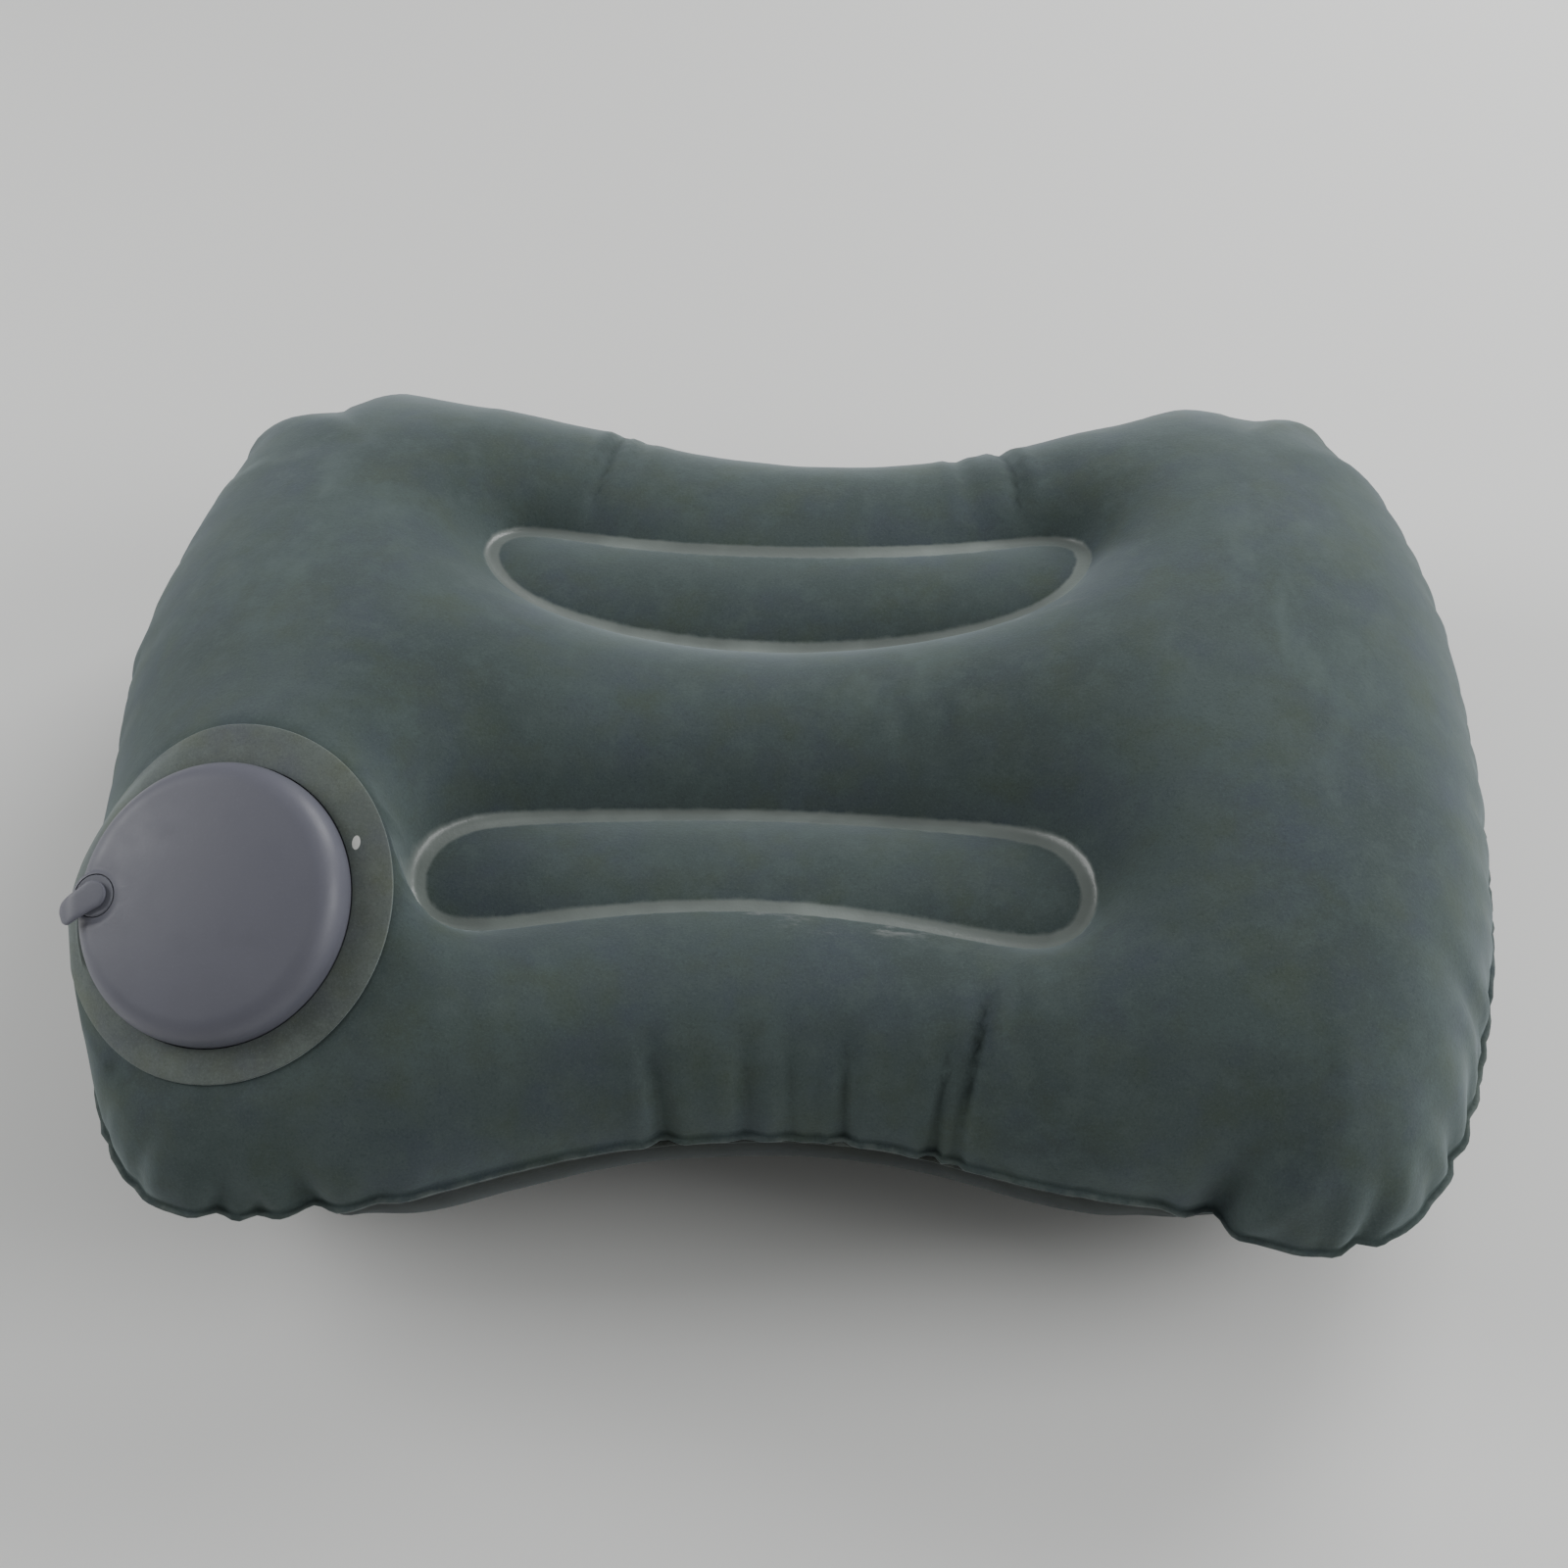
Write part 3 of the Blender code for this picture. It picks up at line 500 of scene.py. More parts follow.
def inflated(points, faces, held, held_heights):
    """Heights of a film blown up between held points: the square root of a stretched membrane's sag."""
    count = len(points)
    corners = points[faces]
    rows, columns, weights = [], [], []
    areas = np.zeros(count)
    for k in range(3):
        a, b, c = (corners[:, (k + m) % 3] for m in range(3))
        u, v = a - c, b - c
        crossed = np.abs(u[:, 0] * v[:, 1] - u[:, 1] * v[:, 0])
        rows.append(faces[:, k])
        columns.append(faces[:, (k + 1) % 3])
        weights.append(0.5 * (u * v).sum(axis=1) / np.maximum(crossed, 1e-14))
        areas += np.bincount(faces[:, k], crossed / 6, count)
    i, j, w = (np.concatenate(v) for v in (rows, columns, weights))
    diagonal = np.bincount(i, w, count) + np.bincount(j, w, count)
    free = ~held

    def pull(x):
        return diagonal * x - np.bincount(i, w * x[j], count) - np.bincount(j, w * x[i], count)

    solution = np.where(held, held_heights**2, 0.0)
    residual = np.where(free, 2 * FULLNESS * areas - pull(solution), 0.0)
    scaled = residual / diagonal
    direction = scaled.copy()
    energy = residual @ scaled
    target = 1e-14 * energy
    for _ in range(3000):
        pulled = np.where(free, pull(direction), 0.0)
        step = energy / (direction @ pulled)
        solution += step * direction
        residual -= step * pulled
        scaled = residual / diagonal
        fresh = residual @ scaled
        if fresh < target:
            break
        direction = scaled + fresh / energy * direction
        energy = fresh
    return np.sqrt(np.clip(solution, 0, None))


def vertex_normals(points, faces):
    a, b, c = (points[faces[:, k]] for k in range(3))
    across = np.cross(b - a, c - a)
    normals = np.zeros_like(points)
    for k in range(3):
        for axis in range(3):
            normals[:, axis] += np.bincount(faces[:, k], across[:, axis], len(points))
    return normals / np.maximum(np.linalg.norm(normals, axis=1), 1e-12)[:, None]


def groove(across, width):
    """A fold's section, 1 at its bottom, with a low lip on either side."""
    share = across / width
    return np.exp(-(share**2)) - LIP_SHARE * np.exp(-(((np.abs(share) - LIP_AT) / LIP_WIDTH) ** 2))


class Seam:
    """The welded edge, and the folds that gather round it."""

    def __init__(self):
        self.loop = seam_outline(SEAM_SPACING)
        self.outward = outward_of(self.loop)
        steps = np.linalg.norm(np.roll(self.loop, -1, axis=0) - self.loop, axis=1)
        self.along = np.concatenate([[0.0], np.cumsum(steps)[:-1]])
        self.length = steps.sum()
        self.folds = self.placed_folds() + self.gathers()

    def placed_folds(self):
        folds = []
        for place, depth, width, length, slant in SEAM_FOLDS:
            index = nearest_on(self.loop, np.array([place]) * MM)[1][0]
            folds.append((self.along[index], depth * MM, width * MM, length * MM, slant,
                          FOLD_EDGE_SHARE))
        return folds

    def gathers(self):
        """Small folds at uneven steps all the way round."""
        rng = np.random.default_rng(GATHER_SEED)
        taken = [fold[0] for fold in self.placed_folds()]
        folds = []
        at = GATHER_START
        while at < self.length - GATHER_START:
            x, y = np.abs(self.loop[np.searchsorted(self.along, at) - 1]) / MM
            away = [(c - middle) / reach for c, middle, reach in zip((x, y), CORNER_AT, CORNER_REACH)]
            at_corner = math.exp(-away[0] ** 2 - away[1] ** 2)
            at_end = x > END_X
            where = np.array([1, at_corner, at_end, not at_end and at_corner <= 0.3])
            pitch, depth, width, length = (
                where @ np.array(v) for v in (GATHER_PITCH, GATHER_DEPTH, GATHER_WIDTH, GATHER_LENGTH))
            at += pitch * rng.uniform(0.6, 1.4) * MM
            clear = min(abs(at - other) for other in taken)
            if clear < GATHER_CLEAR:
                continue
            depth *= rng.uniform(0.45, 1.5)
            width *= rng.uniform(0.8, 1.3)
            length *= rng.uniform(0.6, 1.5)
            slant = rng.uniform(-0.3, 0.3)
            folds.append((at, depth * MM, width * MM, length * MM, slant, GATHER_EDGE_SHARE))
        return folds

    def measure(self, points):
        """For points in plan: distance inside the seam, place along it, and the way out of it."""
        distance, index = nearest_on(self.loop, points)
        outward = self.outward[index]
        ahead = np.column_stack([-outward[:, 1], outward[:, 0]])
        offset = points - self.loop[index]
        place = (self.along[index] + (offset * ahead).sum(axis=1)) % self.length
        return -(offset * outward).sum(axis=1), place, outward, distance

    def sagged(self, points):
        """How far the seam hangs below the middle plane, next to points in plan."""
        x, y = self.loop[nearest_on(self.loop, points)[1]].T
        return SAG * smooth((np.abs(x) - SAG_START) / SAG_RUN) * smooth(-(y + SAG_START_Y) / SAG_RUN)

    def gathered(self, place, up_wall):
        """How far the folds draw the film in, and how far they lift it, at a place and a way up the wall."""
        inward = np.zeros(len(place))
        lift = np.zeros(len(place))
        rise = np.maximum(up_wall, 0)
        for k, (at, depth, width, length, slant, at_edge) in enumerate(self.folds):
            across = (place - at - slant * rise + 0.5 * self.length) % self.length - 0.5 * self.length
            near = np.abs(across) < FOLD_REACH
            wide = width * (1 + rise[near] / FOLD_WIDENS_OVER)
            fade = np.exp(-((rise[near] / length) ** 2)) * (
                at_edge + (1 - at_edge) * smooth(rise[near] / FOLD_FOOT))
            inward[near] += depth * fade * groove(across[near], wide)
            sign = 1 if k % 2 else -1
            lift[near] += sign * LIFT_SHARE * depth * np.exp(-((across[near] / (2 * width)) ** 2))
        return inward, lift * (1 - smooth(rise / LIFT_FADE))


def wrinkled(plan):
    """How far the top panel's wrinkles sink it, and its swellings lift it, at points in plan."""
    depth = np.zeros(len(plan))
    for start, end, sink, width in WRINKLES:
        start, end = np.array(start) * MM, np.array(end) * MM
        run = end - start
        length = np.linalg.norm(run)
        ahead = run / length
        offset = plan - start
        share = offset @ ahead / length
        bend = WRINKLE_BEND * length * np.sin(math.pi * np.clip(share, 0, 1))
        across = offset @ np.array((-ahead[1], ahead[0])) - bend
        fade = np.sin(math.pi * np.clip(share, 0, 1)) ** 0.8
        depth += sink * MM * fade * groove(across, width * MM)
    for place, height, reach in SWELLINGS:
        from_place = ((plan - np.array(place) * MM) ** 2).sum(axis=1)
        depth -= height * MM * np.exp(-0.5 * from_place / (reach * MM) ** 2)
    return depth


def uneven(points, scale, seed):
    shift = Vector((seed, 2.7 * seed, 0.3 * seed))
    return np.array([noise.noise(Vector(p) * scale + shift) for p in points])


def make_skin(name, side, seam, seat, material):
    plan = Plan(seam.loop, seat)
    points, faces = plan.points, plan.faces
    inward_distance, place, outward, _ = seam.measure(points)
    on_flange = inward_distance < 1e-6
    on_weld = np.zeros(len(points), bool)
    for rows in plan.weld_rows:
        on_weld[np.concatenate(rows)] = True
    reach, plane = seat.offsets(points)
    on_seat = (reach < seat.seat_radius + 1e-6) & (inward_distance > SEAT_CLEAR)
    heights = np.zeros(len(points))
    heights[on_weld] = tie_height(*points[on_weld].T)
    heights[on_seat] = side * plane[on_seat]
    heights = inflated(points, faces, on_flange | on_weld | on_seat, heights)
    z = side * (heights + FILM)
    z[on_seat] = plane[on_seat]
    solid = np.column_stack([points, z])
    order = faces if side > 0 else faces[:, ::-1]

    up_wall = np.where(on_flange, -1, 1) * np.hypot(inward_distance, np.where(on_flange, 0, heights))
    normals = vertex_normals(solid, order)
    level = np.column_stack([outward, np.zeros(len(points))])
    share = smooth(np.maximum(up_wall, 0) / LEVEL_NEAR_SEAM)[:, None]
    facing = level * (1 - share) + normals * share
    facing /= np.linalg.norm(facing, axis=1)[:, None]
    inward, lift = seam.gathered(place, up_wall)
    off_seat = smooth((reach - seat.seat_radius - SEAT_CALM) / SEAT_FADE)
    off_seat[on_flange] = 1
    off_weld = smooth((nearest_on(points[on_weld], points)[0] - WELD_CALM) / WELD_FADE)
    sink = inward * off_seat
    if side > 0:
        sink = sink + wrinkled(points) * off_seat * off_weld
    ripple = sum(depth * uneven(solid, scale, seed + side) for depth, scale, seed in UNEVEN)
    sink = sink + ripple * off_seat * off_weld * smooth(up_wall / SEAM_FADE)
    droop = seam.sagged(points)
    if side < 0:
        tucked = smooth(up_wall / TUCK_RUN) * (1 - smooth((up_wall - TUCK_END) / TUCK_FADE))
        sink = sink + TUCK * droop / SAG * tucked
    solid = solid - facing * sink[:, None]
    sag = droop * (1 - smooth(up_wall / (SAG_FADE_TOP if side > 0 else SAG_FADE_BOTTOM)))
    solid[:, 2] += (lift - sag) * off_seat
    solid[:, 2] = np.maximum(solid[:, 2], -MIDDLE_Z)

    solid = (solid + np.array(CENTRE)).tolist()
    mesh = bpy.data.meshes.new(name)
    mesh.from_pydata(solid, [], order.tolist())
    mesh.shade_smooth()
    mesh.materials.append(material)
    pressed = mesh.attributes.new("pressed", "FLOAT", "POINT")
    pressed.data.foreach_set("value", [plan.pressed.get(k, 0.0) for k in range(len(points))])
    obj = linked(name, mesh)
    film = obj.modifiers.new("film", "SOLIDIFY")
    film.thickness = FILM - FILM_GAP
    film.offset = -1
    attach(obj, "pillow")
    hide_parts("top_panel" if side > 0 else "bottom_panel")
    return BVHTree.FromPolygons(solid, order.tolist())


# ------------------------ pump


def linked(name, data):
    """A new object in the scene."""
    obj = bpy.data.objects.new(name, data)
    bpy.context.scene.collection.objects.link(obj)
    return obj


def add_mesh(name, points, faces, placed, material):
    mesh = bpy.data.meshes.new(name)
    mesh.from_pydata(points, [], faces)
    mesh.transform(placed)
    mesh.shade_smooth()
    mesh.materials.append(material)
    return linked(name, mesh)


def ring_faces(rings, closed):
    """Faces between loops of point numbers. A loop may be one point repeated."""
    pairs = list(zip(rings, rings[1:]))
    if closed:
        pairs.append((rings[-1], rings[0]))
    faces = []
    for upper, lower in pairs:
        for k in range(len(upper)):
            after = (k + 1) % len(upper)
            face = [upper[k], lower[k], lower[after], upper[after]]
            face = [v for n, v in enumerate(face) if v not in face[:n]]
            if len(face) > 2:
                faces.append(face)
    return faces


def turned(profile, lifted=None, steps=180, closed=True):
    """Points and faces of a (radius, height) profile turned round +Z.

    The profile runs from the top down the outside.
    """
    rings = []
    points = []
    for radius, height in profile:
        if radius < 1e-9:
            rings.append([len(points)] * steps)
            points.append((0, 0, height))
            continue
        rings.append([len(points) + k for k in range(steps)])
        for k in range(steps):
            x, y = radius * math.cos(2 * math.pi * k / steps), radius * math.sin(2 * math.pi * k / steps)
            points.append((x, y, height + (lifted(x, y) if lifted else 0)))
    return points, ring_faces(rings, closed)


def arc(centre, radius, start, end, count):
    angles = [math.radians(start + (end - start) * k / count) for k in range(count + 1)]
    return [(centre[0] + radius * math.cos(a), centre[1] + radius * math.sin(a)) for a in angles]


def draped(placed, skin):
    """How far the skin falls from the pump's plane, at a place on that plane."""
    back = placed.inverted()
    down = -placed.to_3x3().col[2]

    def lift(x, y):
        reach = math.hypot(x, y)
        if reach < HOLE_RADIUS + 0.1 * MM:
            return -float(curl(x, reach))
        hit = skin.ray_cast(placed @ Vector((x, y, 20 * MM)), down)[0]
        return (back @ hit).z if hit else 0.0

    return lift


def pump_collar(placed, lifted, material):
    """The flocked ring round the bulb, laid on the skin and let down with it at its left."""
    inner = BULB_RADIUS + BULB_GAP
    edge = 0.3 * MM
    profile = arc((inner + edge, COLLAR_HIGH - edge), edge, 180, 90, 3)
    reaches = np.linspace(inner + edge, COLLAR_RADIUS - edge, 9)[1:-1]
    profile += [(reach, COLLAR_HIGH) for reach in reaches]
    profile += arc((COLLAR_RADIUS - edge, COLLAR_HIGH - edge), edge, 90, 0, 3)
    profile += [(reach, COLLAR_LOW) for reach in (COLLAR_RADIUS, *reaches[::-1], inner)]
    points, faces = turned(profile)
    for k, (x, y, z) in enumerate(points):
        near_bulb = (COLLAR_RADIUS - math.hypot(x, y)) / (COLLAR_RADIUS - inner)
        x, y = Vector((x, y)) + BULB_SHIFT * near_bulb
        points[k] = (x, y, z + lifted(x, y))
    obj = add_mesh("collar_ring", points, faces, placed, material)
    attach(obj, "pillow")
    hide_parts("pump_collar")


def pump_cup(placed, lifted, material):
    """The drum that the bulb goes down into. Its flange lies along the underside of the skin."""
    inner = CUP_INNER
    outer = inner + CUP_WALL
    flange = [outer + k * (CUP_FLANGE_RADIUS - outer) / 5 for k in range(6)]
    profile = [(reach, CUP_FLANGE_TOP) for reach in (inner, *flange)]
    profile += [(reach, CUP_FLANGE_TOP - CUP_WALL) for reach in flange[::-1]]
    floor = -CUP_DEPTH + CUP_WALL
    profile += [(outer, -CUP_DEPTH), (OUTLET_HOLE_RADIUS, -CUP_DEPTH)]
    profile += [(OUTLET_HOLE_RADIUS, floor), (inner, floor)]
    obj = add_mesh("cup_drum", *turned(profile, lifted, steps=120), placed, material)
    obj.data.set_sharp_from_angle(angle=math.radians(40))
    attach(obj, "pillow")
    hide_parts("pump_cup")


def foam_ring(frame, material):
    """The ring of foam, which is squeezed on to the drum's floor as the bulb goes down."""
    obj = linked("foam_ring", frame["nodes"]["pump_foam"].data.copy())
    obj.data.materials.clear()
    obj.data.materials.append(material)
    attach(obj, "pillow")
    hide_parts("pump_foam")
    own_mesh(obj)


def bulb_top(reach):
    """Height of the bulb's outside, from its middle to its rim."""
    centre = BULB_RADIUS - BULB_SHOULDER
    crown_end = centre + BULB_SHOULDER * math.sin(BULB_LEAN)
    base = BULB_HEIGHT - BULB_CROWN - BULB_SHOULDER * math.cos(BULB_LEAN)
    if reach < crown_end:
        return BULB_HEIGHT - BULB_CROWN * (reach / crown_end) ** BULB_CROWN_POWER
    share = min(1.0, (reach - centre) / BULB_SHOULDER)
    return base + BULB_SHOULDER * math.sqrt(1 - share**2)


def boss_top(from_intake):
    """Height of the low boss round the intake, which runs out into the shoulder."""
    beyond = max(0.0, from_intake - INTAKE_BOSS_RADIUS + 0.6 * MM)
    return INTAKE_BOSS_TOP - 0.9 * beyond * beyond / MM


def pump_bulb(placed, material):
    """The cap that is pressed: a shallow dome that rises into a boss, bored for the intake."""
    intake = INTAKE_OFFSET * Vector((math.cos(INTAKE_BEARING), math.sin(INTAKE_BEARING)))
    placed = placed @ Matrix.Translation((*BULB_SHIFT, 0))
    intake -= BULB_SHIFT

    def lifted(x, y):
        top = bulb_top(math.hypot(x, y))
        boss = boss_top((Vector((x, y)) - intake).length)
        if boss < top - 3 * MM:
            return top
        blend = 0.35 * MM
        return 0.5 * (top + boss + math.hypot(top - boss, blend)) - 0.25 * blend

    reaches = [0.0, 4 * MM, 9 * MM, 14 * MM, 19 * MM, 23 * MM]
    reaches += [26 * MM + k * 0.75 * MM for k in range(17)]
    reaches += [BULB_RADIUS - BULB_SHOULDER * (1 - math.sin(math.radians(a))) for a in range(32, 88, 4)]
    steps = 288
    points, faces = turned([(reach, 0.0) for reach in reaches], steps=steps, closed=False)
    points = [(x, y, lifted(x, y)) for x, y, _ in points]
    base = bulb_top(BULB_RADIUS)
    centre = BULB_RADIUS - BULB_SHOULDER
    inner = [(BULB_RADIUS, base), (BULB_RADIUS, 1 * MM), (BULB_RADIUS, -BULB_SKIRT),
             (BULB_RADIUS - BULB_WALL, -BULB_SKIRT)]
    inner += arc((centre, base), BULB_SHOULDER - BULB_WALL, 0, 82, 7)
    inner += [(0.5 * centre, BULB_HEIGHT - BULB_WALL - 0.6 * MM), (0.0, BULB_HEIGHT - BULB_WALL - 0.1 * MM)]
    more, more_faces = turned(inner, steps=steps, closed=False)
    start = len(points)
    last_ring = [start - steps + k for k in range(steps)]
    first_ring = [start + k for k in range(steps)]
    faces += ring_faces([last_ring, first_ring], closed=False)
    faces += [[start + v for v in face] for face in more_faces]
    obj = add_mesh("bulb_cap", points + more, faces, placed, material)
    bore_at = placed @ Matrix.Translation(Vector((*intake, 0)))
    for radius, low in ((INTAKE_POCKET_RADIUS, INTAKE_FLOOR), (INTAKE_HOLE_RADIUS, 4 * MM)):
        profile = [(0.0, 30 * MM), (radius, 30 * MM), (radius, low), (0.0, low)]
        drilled(obj, add_mesh("drill", *turned(profile, steps=64, closed=False), bore_at, material))
    obj.data.set_sharp_from_angle(angle=math.radians(35))
    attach(obj, "pump_bulb")
    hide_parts("pump_bulb")


def drilled(obj, cutter):
    """Cuts the cutter out of the piece, and removes it."""
    modifier = obj.modifiers.new("drill", "BOOLEAN")
    modifier.object = cutter
    modifier.solver = "EXACT"
    bpy.context.view_layer.update()
    mesh = bpy.data.meshes.new_from_object(obj.evaluated_get(bpy.context.evaluated_depsgraph_get()))
    obj.modifiers.clear()
    obj.data = mesh
    bpy.data.objects.remove(cutter)


def intake_plug(placed, material):
    """The stopper and its tab, which is a soft strip that bends down over the bulb's rim."""
    intake = placed @ Matrix.Rotation(INTAKE_BEARING, 4, "Z") @ Matrix.Translation((INTAKE_OFFSET, 0, 0))
    half = 0.5 * PLUG_THICKNESS
    middle = PLUG_LOW + half
    across = 24
    stations = [-TAB_ROUND_END * math.cos(math.radians(a)) for a in range(0, 91, 10)]
    stations += [k * 0.8 * MM for k in range(1, 14)]
    stations += [TAB_REACH - 2 * MM + 2 * MM * math.sin(math.radians(a)) for a in range(0, 91, 15)]
    points = []
    rings = []
    turn = Matrix.Rotation(TAB_TURN, 4, "Z")
    for along in sorted(set(round(s, 7) for s in stations)):
        width = TAB_ROUND_END
        if along < 0:
            width *= math.sqrt(max(0.0, 1 - (along / TAB_ROUND_END) ** 2))
        width = min(width, TAB_HALF_WIDTH + 0.4 * MM * math.exp(-max(along, 0) / (2 * MM)))
        end = (along - TAB_REACH + 3 * MM) / (3 * MM)
        if end > 0:
            width *= math.sqrt(max(0.0, 1 - 0.75 * end**2.5))
        ring = []
        for k in range(across):
            angle = 2 * math.pi * k / across
            side = math.copysign(abs(math.cos(angle)) ** 0.45, math.cos(angle))
            rise = math.copysign(abs(math.sin(angle)) ** 0.45, math.sin(angle))
            at = turn @ Vector((along, width * side, 0))
            reach = math.hypot(at.x + INTAKE_OFFSET, at.y)
            drop = TAB_BEND * max(0.0, reach - TAB_BEND_START) ** 2
            ring.append(len(points))
            points.append((at.x, at.y, middle - drop + half * rise * min(1.0, 0.4 + width / (2 * MM))))
        rings.append(ring)
    faces = ring_faces(rings, closed=False)
    faces += [rings[0][::-1], rings[-1]]
    stem = [(0.0, PLUG_LOW + 0.2 * MM), (PLUG_STEM_RADIUS, PLUG_LOW + 0.2 * MM),
            (PLUG_STEM_RADIUS - 0.3 * MM, PLUG_NOSE), (0.0, PLUG_NOSE)]
    more, more_faces = turned(stem, steps=48, closed=False)
    faces += [[len(points) + v for v in face] for face in more_faces]
    obj = add_mesh("plug_tab", points + more, faces, intake, material)
    obj.data.set_sharp_from_angle(angle=math.radians(50))
    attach(obj, "intake_plug")
    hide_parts("intake_plug")
    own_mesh(obj)


# ------------------------ materials


class Finish:
    """A Principled material, with helpers that add to its nodes."""

    def __init__(self, name, colour, roughness, sheen=0.0):
        self.material = bpy.data.materials.new(name)
        self.material.use_nodes = True
        self.tree = self.material.node_tree
        self.shader = self.tree.nodes["Principled BSDF"]
        self.set("Base Color", (*colour, 1))
        self.set("Roughness", roughness)
        self.set("Sheen Weight", sheen)
        self.set("Sheen Roughness", 0.45)
        self.where = self.tree.nodes.new("ShaderNodeTexCoord").outputs["Object"]
        self.colour = self.rgb(colour)
        self.height = None

    def set(self, name, value):
        self.shader.inputs[name].default_value = value

    def link(self, source, target):
        self.tree.links.new(source, target)

    def node(self, kind, **values):
        node = self.tree.nodes.new("ShaderNode" + kind)
        for name, value in values.items():
            node.inputs[name].default_value = value
        return node

    def rgb(self, colour):
        node = self.node("RGB")
        node.outputs[0].default_value = (*colour, 1)
        return node.outputs[0]

    def noise(self, scale, detail=2.0, roughness=0.5, stretch=None, low=0.0, high=1.0):
        node = self.node("TexNoise", Scale=scale, Detail=detail, Roughness=roughness)
        source = self.where
        if stretch:
            mapping = self.node("Mapping", Scale=stretch)
            self.link(source, mapping.inputs["Vector"])
            source = mapping.outputs["Vector"]
        self.link(source, node.inputs["Vector"])
        return self.ranged(node.outputs["Fac"], low, high)

    def ranged(self, value, low, high, to_low=0.0, to_high=1.0):
        node = self.node("MapRange")
        for name, limit in (("From Min", low), ("From Max", high), ("To Min", to_low), ("To Max", to_high)):
            node.inputs[name].default_value = limit
        self.link(value, node.inputs["Value"])
        return node.outputs["Result"]

    def product(self, a, b):
        node = self.node("Math")
        node.operation = "MULTIPLY"
        self.link(a, node.inputs[0])
        if isinstance(b, float):
            node.inputs[1].default_value = b
        else:
            self.link(b, node.inputs[1])
        return node.outputs[0]

    def patch(self, centre, reach):
        """1 near a place, falling to 0 at the reach, which may differ by axis."""
        mapping = self.node("Mapping", Location=centre, Scale=reach)
        mapping.vector_type = "TEXTURE"
        self.link(self.where, mapping.inputs["Vector"])
        length = self.node("VectorMath")
        length.operation = "LENGTH"
        self.link(mapping.outputs["Vector"], length.inputs[0])
        return self.ranged(length.outputs["Value"], 1.0, 0.2)

    def tint(self, colour, amount):
        mix = self.node("Mix")
        mix.data_type = "RGBA"
        self.link(amount, mix.inputs["Factor"])
        self.link(self.colour, mix.inputs[6])
        mix.inputs[7].default_value = (*colour, 1)
        self.colour = mix.outputs[2]

    def relief(self, height, distance, strength=1.0):
        node = self.node("Bump", Strength=strength, Distance=distance)
        self.link(height, node.inputs["Height"])
        if self.height:
            self.link(self.height, node.inputs["Normal"])
        self.height = node.outputs["Normal"]

    def done(self):
        self.link(self.colour, self.shader.inputs["Base Color"])
        if self.height:
            self.link(self.height, self.shader.inputs["Normal"])
        return self.material


FABRIC_COLOUR = (0.057, 0.076, 0.074)
# Painted shade: the underside is the top's flock darkened for the shade beneath the pillow.
UNDERSIDE_PAINTED_SHADE_COLOUR = (0.025, 0.028, 0.025)
COLLAR_COLOUR = (0.118, 0.137, 0.127)
WELD_COLOUR = (0.130, 0.150, 0.140)
BULB_COLOUR = (0.132, 0.134, 0.165)
DRUM_COLOUR = (0.105, 0.108, 0.135)
FOAM_COLOUR = (0.35, 0.33, 0.24)
COLLAR_SPECK = (42.3 * MM, 17.4 * MM, COLLAR_HIGH)


def scaled(colour, factor):
    return tuple(c * factor for c in colour)


